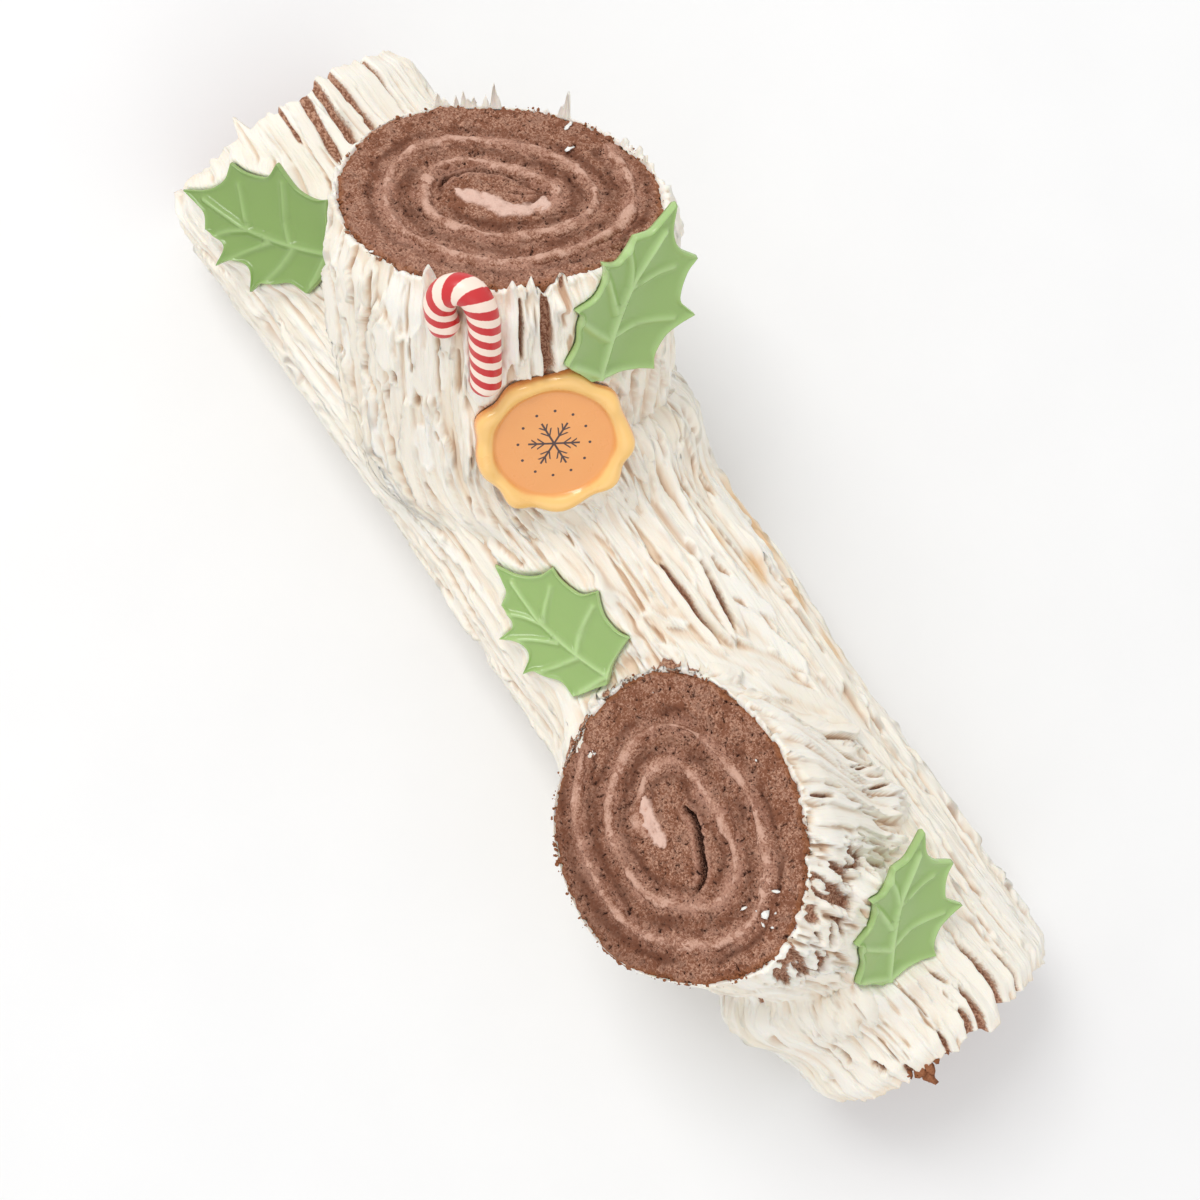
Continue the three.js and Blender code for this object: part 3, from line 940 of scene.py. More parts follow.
    def rake(self, scale: float, seed: int, reach: Reach | None = None) -> None:
        """The whole work of the knife: wide flat swipes, narrower ones, then blades, cuts and pits.

        Args:
            scale: area to cover, as a share of the long roll's.
            seed: which strokes.
            reach: how strong the relief is at a place along and across, as a factor.
        """
        # count, half length, half width, level, lip, tilt, and whether they are added to what is there
        sets = (
            (430, (22, 58), (4, 9), (0.0, 0.75), (0.2, 0.9), 0.5, False),
            (430, (16, 46), (2.4, 5.2), (0.15, 0.8), (0.4, 1.5), 0.75, False),
            (330, (9, 30), (1.3, 2.8), (0.3, 0.75), (0.5, 1.6), 0.6, False),
            (420, (8, 34), (0.5, 1.1), (1.0, 0.4), (0.1, 0.5), 0.3, True),
            (190, (8, 26), (0.4, 0.9), (-1.15, 0.45), (0.0, 0.2), 0.2, True),
            (40, (1.8, 5.0), (0.7, 1.4), (-1.7, 0.6), (0.2, 0.6), 0.2, True),
        )
        for index, (count, length, width, level, lip, tilt, add) in enumerate(sets):
            strokes = StrokeSet(int(count * scale), length, width, level, lip, seed + index, tilt, add=add)
            self.scatter(strokes, reach)


# ------------------------------------------------------------------ the shapes under the coat
@dataclass(frozen=True)
class LogShape:
    """The long roll: an oval section, flat where it rests."""

    far_x: float = -189.0
    near_x: float = 193.0
    half_width: float = 42.5
    half_height: float = 40.0
    axis_z: float = 35.0
    spiral_start: float = math.radians(300)
    turns: float = 2.1

    def radius(self, angle: Array) -> Array:
        """Distance from the axis to the outline: the polar form of an ellipse."""
        return 1.0 / np.hypot(np.cos(angle) / self.half_width, np.sin(angle) / self.half_height)

    def away(self, angle: Array) -> Array:
        """The way out from the axis at each angle."""
        return np.stack([0 * angle, np.cos(angle), np.sin(angle)], axis=-1)

    def place(self, x: Array, angle: Array, reach: Array) -> Array:
        """Points along the log, by angle and by distance from the axis."""
        turned = [reach * np.cos(angle), self.axis_z + reach * np.sin(angle)]
        return np.stack(np.broadcast_arrays(x, *turned), axis=-1)

    def flat_radius(self, angle: Array) -> Array:
        """The outline's radius, no lower than the resting face."""
        radius = self.radius(angle)
        drop = -np.sin(angle) * radius
        return np.where(drop > self.axis_z, radius * self.axis_z / np.maximum(drop, 1e-6), radius)


@dataclass(frozen=True)
class SliceShape:
    """A short slice of roll that stands on the log and leans back, an oval across its axis."""

    name: str
    face: Triple
    normal: Triple
    long_axis_turn: float
    half_long: float
    half_short: float
    base_normal: Triple
    base_point: Triple
    spiral_start: float
    turns: float
    wobble: float
    fillet: float
    fillet_side: float
    seed: int

    def axes(self) -> Array:
        """The slice's own axes.

        Returns:
            Rows: the long way of the oval, the short way, and out of the cut face.
        """
        z_axis = unit(np.array(self.normal))
        level = unit(np.cross([0.0, 0.0, 1.0], z_axis))
        turn = math.radians(self.long_axis_turn)
        x_axis = level * math.cos(turn) + np.cross(z_axis, level) * math.sin(turn)
        return np.array([x_axis, np.cross(z_axis, x_axis), z_axis])

    def radius(self, angle: Array) -> Array:
        """Distance from the axis to the wall: an ellipse with a slow wobble of 3 and 5 waves."""
        oval = 1.0 / np.hypot(np.cos(angle) / self.half_long, np.sin(angle) / self.half_short)
        waves = 0.6 * np.sin(3 * angle + self.seed) + 0.4 * np.sin(5 * angle + 2 * self.seed)
        return oval + self.wobble * waves

    def away(self, angle: Array) -> Array:
        """The way out from the axis at each angle."""
        axes = self.axes()
        return np.cos(angle)[:, None] * axes[0] + np.sin(angle)[:, None] * axes[1]

    def to_world(self, local: Array) -> Array:
        """From the slice's own frame to the cake's."""
        return np.asarray(self.face) + local @ self.axes()

    def to_local(self, points: Array) -> Array:
        """From the cake's frame to the slice's own."""
        return (points - np.asarray(self.face)) @ self.axes().T

    def outside(self, points: Array) -> Array:
        """How far points lie outside the wall, measured across the axis."""
        local = self.to_local(points)
        angle = np.arctan2(local[..., 1], local[..., 0])
        return np.hypot(local[..., 0], local[..., 1]) - self.radius(angle)


STUMP = SliceShape(
    name="stump", face=(-122.4, 28.6, 120.0), normal=(-0.549, 0.28, 0.788), long_axis_turn=155,
    half_long=51.4, half_short=43.8, base_normal=(0, 0.12, 0.99), base_point=(-80, 0, 60),
    spiral_start=48, turns=2.2, wobble=1.4, fillet=10, fillet_side=1, seed=7,
)
BRANCH = SliceShape(
    name="branch", face=(75.0, -42.3, 99.3), normal=(-0.507, -0.396, 0.766), long_axis_turn=45,
    half_long=53, half_short=43.6, base_normal=(0, -0.62, 0.78), base_point=(100, -21.5, 54.5),
    spiral_start=200, turns=-2.15, wobble=1.8, fillet=12, fillet_side=-1, seed=19,
)


@dataclass(frozen=True)
class Coating:
    """The buttercream before the knife marks it: how thick it lies, and what is pressed into it."""

    log: LogShape
    slices: tuple[SliceShape, ...]
    finish: Material
    dents: list[Dent | Groove]
    mean: float = 4.2
    flank: float = 1.3
    bulge: float = 3.0

    def cover(self, x: Array, angle: Array) -> Array:
        """Depth over the log: a mean, more on the flanks, and a bell-shaped heap by each slice.

        A heap is cut off 2 mm under the plane of the slice's cut face.

        Args:
            x: place along the log.
            angle: angle round it.

        Returns:
            The depth in millimetres.
        """
        surface, radial = self.log.place(x, angle, self.log.radius(angle)), self.log.away(angle)
        swell = self.flank + self.bulge * bell((x - 12.0) / 42.0)
        depth = self.mean + swell * np.abs(np.cos(angle))
        for piece in self.slices:
            off = piece.outside(surface)
            away = np.maximum(0.0, off) / 11.0
            side = smooth(piece.fillet_side * surface[..., 1], -32, 12) * smooth(surface[..., 2], 8, 40)
            depth = depth + piece.fillet * bell(away) * side * smooth(off, -12, -2)
            top = surface + radial * depth[..., None]
            over = np.maximum(piece.to_local(top)[..., 2] + 2.0, 0.0)
            beside = 1.0 - smooth(piece.outside(top), 2.0, 12.0)
            climb = np.maximum(radial @ piece.axes()[2], 0.35)
            depth = depth - over * beside / climb
        return depth

    def press(self, points: Array) -> Array:
        """A grid of points with the beds of the toppings pressed into it."""
        flat = points.reshape(-1, 3)
        for dent in self.dents:
            flat = dent.press(flat)
        return flat.reshape(points.shape)

    def above_log(self, points: Array) -> Array:
        """How far points lie above the coated log, measured from its axis."""
        y, z = points[..., 1], points[..., 2] - self.log.axis_z
        angle = np.arctan2(z, y)
        return np.hypot(y, z) - self.log.radius(angle) - self.cover(points[..., 0], angle)


# ------------------------------------------------------------------ toppings that press into the coat
@dataclass(frozen=True)
class Dent:
    """The bed of a flat topping: cream under it follows its underside and closes up round it."""

    origin: Triple
    along: Triple
    face: Triple
    outline: Array
    underside: Callable[[Array, Array], Array]
    collar: float = 0.6

    def press(self, points: Array) -> Array:
        """Lay points under the topping against it, and those beside it against its edge.

        Cream that lies too high goes down within 2 mm of the edge, and cream that lies too low
        comes up over 5 mm.

        Args:
            points: n x 3 points of the coat.

        Returns:
            The moved points.
        """
        origin, axes = frame_of(self.origin, self.along, self.face)
        local = (points - origin) @ axes.T
        span = np.abs(self.outline).max() + 8.0
        near = (np.abs(local[:, 0]) < span) & (np.abs(local[:, 1]) < span) & (np.abs(local[:, 2]) < 25)
        spot = local[near]
        if not len(spot):
            return points
        ring = np.vstack([self.outline, self.outline[:1]])
        away, _ = distance_to_line(spot[:, :2], ring)
        away = np.where(inside_outline(spot[:, :2], self.outline), -away, away)
        bed = self.underside(spot[:, 0], spot[:, 1]) - 0.35 + (self.collar + 0.35) * smooth(away, -0.6, 0.5)
        high = spot[:, 2] > bed
        share = np.where(high, 1.0 - smooth(away, 0.4, 2.2), 1.0 - smooth(away, 0.6, 5.0))
        share = share * np.where(high, 1.0, 1.0 - smooth(bed - spot[:, 2], 5.0, 10.0))
        spot[:, 2] = spot[:, 2] * (1 - share) + bed * share
        moved = points.copy()
        moved[near] = origin + spot @ axes
        return moved


def inside_outline(points: Array, outline: Array) -> Array:
    """Which points lie inside a closed outline: an odd number of its sides lies to their right.

    Args:
        points: n x 2 points.
        outline: m x 2 corners.

    Returns:
        True for points inside.
    """
    result = np.zeros(len(points), bool)
    x, y = points[:, 0], points[:, 1]
    for start, end in zip(outline, np.roll(outline, -1, axis=0)):
        crosses = (start[1] > y) != (end[1] > y)
        rise = end[1] - start[1]
        at = start[0] + (y - start[1]) * (end[0] - start[0]) / (rise if abs(rise) > 1e-9 else 1e-9)
        result ^= crosses & (x < at)
    return result


@dataclass(frozen=True)
class Groove:
    """The bed of a round bar such as the candy cane."""

    line: Array
    radius: float
    up: Triple

    def press(self, points: Array) -> Array:
        """Move points inside the bar or over it to just under it, against `up`.

        Args:
            points: n x 3 points of the coat.

        Returns:
            The moved points.
        """
        up = unit(np.array(self.up))
        across = unit(np.cross(up, [0.0, 0.0, 1.0]))
        flat = np.array([across, np.cross(up, across)])
        plane, height = points @ flat.T, points @ up
        path, level = self.line @ flat.T, self.line @ up
        near = np.all((plane > path.min(0) - 12) & (plane < path.max(0) + 12), axis=1)
        near &= (height > level.min() - 20) & (height < level.max() + 20)
        if not near.any():
            return points
        away, share = distance_to_line(plane[near], path)
        middle = np.interp(share, np.linspace(0, 1, len(level)), level)
        round_off = np.sqrt(np.maximum(self.radius**2 - away**2, 0.0))
        limit = middle - round_off - 0.1 + 40.0 * smooth(away, self.radius * 0.94, self.radius * 1.3)
        moved = points.copy()
        lower = np.minimum(height[near], limit) - height[near]
        moved[near] += lower[:, None] * up
        return moved


# ------------------------------------------------------------------ the buttercream
@dataclass
class CoatSheet:
    """A grid of buttercream: where it lies, which way is out, and how the knife left it."""

    base: Array
    outward: Array
    sideways: Array
    knife: KnifeField
    pitch: Pair
    stain: Array

    def dress(self, lean: float, seed: int) -> tuple[Array, Marks]:
        """Raise the grid to the strokes' height and shear the crests to one side.

        Args:
            lean: sideways move for each millimetre of height.
            seed: which random field leans the crests.

        Returns:
            The points, and the marks of painted shade in hollows and in crevices, `tone`, `bare` and
            `stain`.
        """
        wrap = self.knife.wrap
        height = blur(self.knife.height, (0.6 / self.pitch[0], 0.2 / self.pitch[1]), wrap)
        wide = blur(height, (4.0 / self.pitch[0], 2.0 / self.pitch[1]), wrap)
        tight = blur(height, (1.6 / self.pitch[0], 0.9 / self.pitch[1]), wrap)
        along, across = np.meshgrid(self.knife.along, self.knife.across, indexing="ij")
        shear = lean * noise(along / 34.0, across / 11.0, seed) * (height - wide)
        height = height + 0.1 * noise(along / 5.0, across / 1.8, seed + 1)
        points = self.base + self.outward * height[..., None]
        points = points + self.sideways * shear[..., None]
        marks = {
            # painted shade: where the height lies under its blurred copy, in hollows and narrow crevices
            "hollow_shade": np.clip((wide - height) / 1.7 + 0.1, 0, 1),
            "crevice_shade": np.clip((tight - height - 0.3) / 1.0, 0, 1),
            "tone": 0.5 + 0.22 * blur(self.knife.tone, (1.0, 1.0), wrap),
            "bare": np.maximum(smooth(-height, -0.5, 0.6), blur(self.knife.open, (0.7, 0.7), wrap)),
            "stain": self.stain,
        }
        return points, marks | self._flow(along, across)

    def _flow(self, along: Array, across: Array) -> Marks:
        """Where each point lies in the knife's flow, as a place in space without a seam.

        Args:
            along: distance with the strokes.
            across: distance across them.

        Returns:
            `flow_x` along the strokes; `flow_y` and `flow_z` across them, on a circle if the grid closes.
        """
        place = across + self.knife.drift
        if not self.knife.wrap:
            return {"flow_x": along, "flow_y": place, "flow_z": 0 * place}
        radius = (self.knife.across[-1] + self.pitch[1]) / TURN
        turn = place / radius
        return {"flow_x": along, "flow_y": radius * np.cos(turn), "flow_z": radius * np.sin(turn)}


class End(Enum):
    """The two ends of the log, by the sign of X."""

    FAR = -1
    NEAR = 1


@dataclass
class LogCoat:
    """The buttercream over the log, in three lengths."""

    coating: Coating
    foot: float = math.radians(48)
    columns: int = 460
    pitch_along: float = 0.8
    # millimetres across the grid for one radian
    arc: float = 45.0
    stretch: float = 30.0
    cuts: Pair = (-62.0, 62.0)
    # bare slots between two strokes: start, end, angle in degrees at each, half width
    slots: Table = (
        (-202, -160, 85, 91, 1.9), (-202, -160, 78.5, 80.6, 1.8), (-202, -163, 69.8, 67.6, 1.6),
        (-202, -163, 48.3, 49.8, 1.1), (-199, -178, 98, 99.2, 0.9), (165, 204, 73, 72, 1.7),
        (178, 204, 85, 87, 1.6), (187, 204, 91, 93, 1.7), (167, 176, 91, 88, 0.7),
        (174, 180, 138, 139, 1.2), (184, 191, 132, 129, 1.3), (4, 39, 80.6, 77.2, 1.2),
        (12, 38, 65.0, 69.6, 1.2), (178, 203, 62, 60, 1.0), (188, 203, 103, 105, 0.8),
        (194, 203, 122, 122, 1.2),
    )
    # wide smooth swipes at the far end: angle in degrees at the end and inwards, half width
    plates: Table = (
        (36, 40, 4.2), (43, 45, 3.0), (53.5, 54.5, 3.6), (61, 60, 3.4), (66, 64.5, 2.4),
        (74.3, 74.0, 2.9), (81.8, 85.8, 2.6), (91.5, 95.0, 3.1), (103, 103, 3.4), (109, 108, 2.8),
        (115, 113, 2.6), (122, 119, 3.6),
    )
    # the same at the near end: angle in degrees, half width
    near_plates: Table = (
        (40, 4.2), (51, 4.6), (67, 4.2), (79, 4.8), (89, 2.0), (97.5, 4.4), (111, 5.2), (124, 5.0),
        (137, 4.6), (149, 4.2),
    )
    # caramel patches: place along, angle in degrees, half length, half width in degrees, strength
    stains: Table = (
        (8, 50, 9, 5, 1.0), (25, 42, 11, 6, 1.1), (42, 27, 14, 7, 1.3), (14, 16, 24, 8, 1.2),
        (64, 23, 18, 8, 0.9), (-8, 36, 12, 7, 0.8), (25, 78, 22, 5, 0.55), (10, 72, 26, 4, 0.45),
        (150, 88, 14, 8, 0.35), (128, 118, 14, 6, 0.3),
    )

    def around(self) -> Array:
        """Angles of the grid's columns, from one foot over the top to the other."""
        return np.linspace(-self.foot, math.pi + self.foot, self.columns)

    def knife(self, along: Array, across: Array) -> KnifeField:
        """Paint the strokes: broad ones, then narrow ones, then the slots with their ridges.

        Args:
            along: X of the grid's rows.
            across: place round the log of its columns.

        Returns:
            The painted field.
        """
        log = self.coating.log
        work = KnifeField(along, across, seed=30)

        def place(degrees: float) -> float:
            """Where an angle round the log lies across the grid."""
            return (math.radians(degrees) + self.foot) * self.arc

        def relief(x: float, at: float) -> float:
            """The strokes are deeper at both ends of the log and on its top."""
            ends = 0.35 * float(smooth(x, 140, 185)) - 0.4 * float(smooth(-x, 140, 160))
            top = math.exp(-(((at - place(90)) / self.arc / 0.9) ** 2))
            return 0.75 + (0.3 + ends) * top

        work.rake(1.0, 31, relief)
        round_slice = (28.0, 80.0, place(56), place(100))
        work.scatter(
            StrokeSet(
                46, (10, 20), (2.0, 4.6), (0.3, 0.6), (0.3, 1.2), 41, 0.6, (-0.58, 0.1), 0.1,
                box=round_slice,
            )
        )
        box = (152.0, 198.0, place(38), place(150))
        work.scatter(StrokeSet(26, (15, 32), (1.8, 3.8), (0.7, 0.4), (0.5, 1.4), 46, 0.6, box=box))
        for index, (degrees, half) in enumerate(self.near_plates):
            work.stroke(
                Stroke(
                    along=177, across=place(degrees), half_length=26 - 3 * (index % 3), half_width=half,
                    level=0.7, tilt=0.4 * math.sin(2.0 * index), lip_left=0.9, lip_right=1.0,
                    slope=0.01, crown=0.5, streak=0.14, phase=2.1 * index, backwards=True,
                    tone=-0.9 + 0.4 * (index % 3),
                )
            )
        work.scatter(StrokeSet(7, (6, 14), (0.5, 0.9), (-1.3, 0.4), (0.1, 0.4), 47, 0.3, add=True, box=box))
        work.scatter(StrokeSet(30, (8, 20), (0.5, 1.0), (1.1, 0.4), (0.0, 0.3), 48, 0.5, add=True, box=box))
        for index, (outer, inner, half) in enumerate(self.plates):
            slope = math.radians(inner - outer) * float(log.radius(math.radians(outer))) / 30.0
            turn = 1 if index % 2 else -1
            work.stroke(
                Stroke(
                    along=-174, across=place((outer + inner) / 2), half_length=32 - 3 * (index % 3),
                    half_width=half, level=0.5, tilt=0.5 * turn, lip_left=1.0, lip_right=1.1, slope=slope,
                    crown=0.45, streak=0.12, phase=1.7 * index, tone=-0.6 + 0.4 * (index % 3),
                )
            )
        cuts = (-192.0, -158.0, place(36), place(124))
        nicks = StrokeSet(22, (8, 20), (0.45, 0.8), (-0.9, 0.3), (0.1, 0.3), 42, 0.1, add=True, box=cuts)
        work.scatter(nicks)
        for start, end, first, last, half in self.slots:
            middle, length = (start + end) / 2, (end - start) / 2
            at = place((first + last) / 2)
            slope = math.radians(last - first) * float(log.radius(math.radians(first))) / (end - start)
            common = {"along": middle, "slope": slope, "backwards": start > 100}
            for side in (-1, 1) if start > -150 else ():
                fin = Stroke(
                    across=at + side * (half + 1.2), half_length=length + 4, half_width=1.5, level=1.5,
                    tilt=-0.6 * side, lip_left=0.6, lip_right=0.6, crown=0.4, phase=start + side, **common
                )
                work.stroke(fin)
            slit = Stroke(
                across=at, half_length=length, half_width=half, level=0, phase=end, bare=True, **common
            )
            work.stroke(slit)
        return work

    def edge(self, side: End, around: Array) -> Array:
        """How far the torn end of the coat stands past the sponge: noise with sharp teeth.

        Args:
            side: which end.
            around: angles of the columns.

        Returns:
            X of the torn edge at each column.
        """
        seed = 50 + side.value
        place = around * self.arc
        ragged = 1.2 * noise(place / 7.0, 0, seed) + 0.9 * noise(place / 2.3, 0, seed + 5)
        teeth = np.maximum(noise(place / 4.6, 0, seed + 9), 0) ** 2 * 4.2
        reach = 3.2 + ragged + teeth
        for start, end, first, last, half in self.slots:
            outer = first if side is End.FAR else last
            if (start < self.coating.log.far_x) if side is End.FAR else (end > self.coating.log.near_x):
                off = (np.degrees(around) - outer) / (2.0 * half)
                reach = reach - 2.2 * bell(off) + 1.0 * np.exp(-((np.abs(off) - 1.6) ** 2) * 3)
        if side is End.FAR:
            spike = np.abs(np.degrees(around) - 114.5) / 3.4
            reach = reach * 0.8 + 7.2 * np.maximum(1 - spike, 0) ** 1.3
            return self.coating.log.far_x - np.minimum(reach, 10.5)
        return self.coating.log.near_x + np.minimum(0.8 * reach, 5.5)

    def build(self) -> None:
        """Make the three lengths of the log's coat."""
        log = self.coating.log
        around = self.around()
        count = int((log.near_x - log.far_x + 14) / self.pitch_along)
        along = np.linspace(log.far_x - 7, log.near_x + 7, count)
        across = (around + self.foot) * self.arc
        work = self.knife(along, across)
        far, near = self.edge(End.FAR, around), self.edge(End.NEAR, around)
        grid_x, angle = np.meshgrid(along, around, indexing="ij")
        inner_far, inner_near = along[0] + self.stretch, along[-1] - self.stretch
        x = np.where(
            grid_x < inner_far,
            inner_far + (inner_far - grid_x) / self.stretch * (far[None, :] - inner_far), grid_x,
        )
        x = np.where(
            grid_x > inner_near,
            inner_near + (grid_x - inner_near) / self.stretch * (near[None, :] - inner_near), x,
        )
        cover = self.coating.cover(x, angle)
        cover = cover - 1.5 * smooth(-x, 152, 172) * smooth(np.sin(angle), 0.3, 0.8)
        thin = smooth(np.minimum(x - far, near - x), -0.5, 7.0)
        work.height = work.height * (0.35 + 0.65 * thin) - (1.0 - thin) * (cover - 2.6)
        sheet = CoatSheet(
            base=log.place(x, angle, log.radius(angle)), outward=log.away(angle),
            sideways=np.stack([0 * angle, -np.sin(angle), np.cos(angle)], axis=-1), knife=work,
            pitch=(self.pitch_along, across[1] - across[0]), stain=self._stain(x, angle),
        )
        full = np.maximum(work.height + cover + 0.6, -1.0)
        work.height = full * (1.0 - work.open) + 2.2 * work.open
        points, marks = sheet.dress(0.5, 61)
        for piece in self.coating.slices:
            over = np.maximum(piece.to_local(points)[..., 2] + 1.5, 0.0)
            beside = 1.0 - smooth(piece.outside(points), 0.5, 3.5)
            points = points - (over * beside)[..., None] * piece.axes()[2]
        points[..., 2] = np.maximum(points[..., 2], 0.9)
        self._pieces(self.coating.press(points), marks, along, (far, near))

    def _stain(self, x: Array, angle: Array) -> Array:
        """Bell-shaped patches of caramel.

        Args:
            x: place along the log.
            angle: angle round it.

        Returns:
            Strength of the caramel, 0 and up.
        """
        total = np.zeros_like(x)
        for place, degrees, length, width, strength in self.stains:
            off = ((x - place) / length) ** 2 + ((np.degrees(angle) - degrees) / width) ** 2
            total = np.maximum(total, strength * np.exp(-off))
        return total

    def _pieces(self, points: Array, marks: Marks, along: Array, edges: tuple[Array, Array]) -> None:
        """Cut the grid into lengths and fold its torn ends back to the sponge.

        Args:
            points: rows x columns x 3.
            marks: grids of the same rows and columns.
            along: X of the rows before they were drawn to the torn edge.
            edges: X of the torn edge at both ends.
        """
        log = self.coating.log
        first, second = np.searchsorted(along, self.cuts)
        spans = {
            "icing_log_far": slice(0, first + 1), "icing_log_middle": slice(first, second + 1),
            "icing_log_near": slice(second, len(along)),
        }
        around = self.around()
        for name, span in spans.items():
            part = points[span]
            extra = {key: grid[span] for key, grid in marks.items()}
            side = {"icing_log_far": End.FAR, "icing_log_near": End.NEAR}.get(name)
            if side is not None:
                edge = edges[0] if side is End.FAR else edges[1]
                home = log.far_x + 2.0 if side is End.FAR else log.near_x - 2.0
                share = np.array([[0.0], [0.5], [1.0]])
                x = edge * (1 - share) + home * share - side.value * 0.3
                reach = log.radius(around) + 0.5 - 0.7 * share
                folds = log.place(x, around, reach)
                folds[..., 2] = np.maximum(folds[..., 2], 0.5)
                if side is End.FAR:
                    part = np.concatenate([folds[::-1], part])
                    extra = {k: np.concatenate([g[:1]] * 3 + [g]) for k, g in extra.items()}
                else:
                    part = np.concatenate([part, folds])
                    extra = {k: np.concatenate([g] + [g[-1:]] * 3) for k, g in extra.items()}
            quads = grid_quads(part.shape[0], part.shape[1])
            replaced = ("icing",) if name == "icing_log_middle" else ()
            make_piece(name, part, [quads], self.coating.finish, replaced, extra)


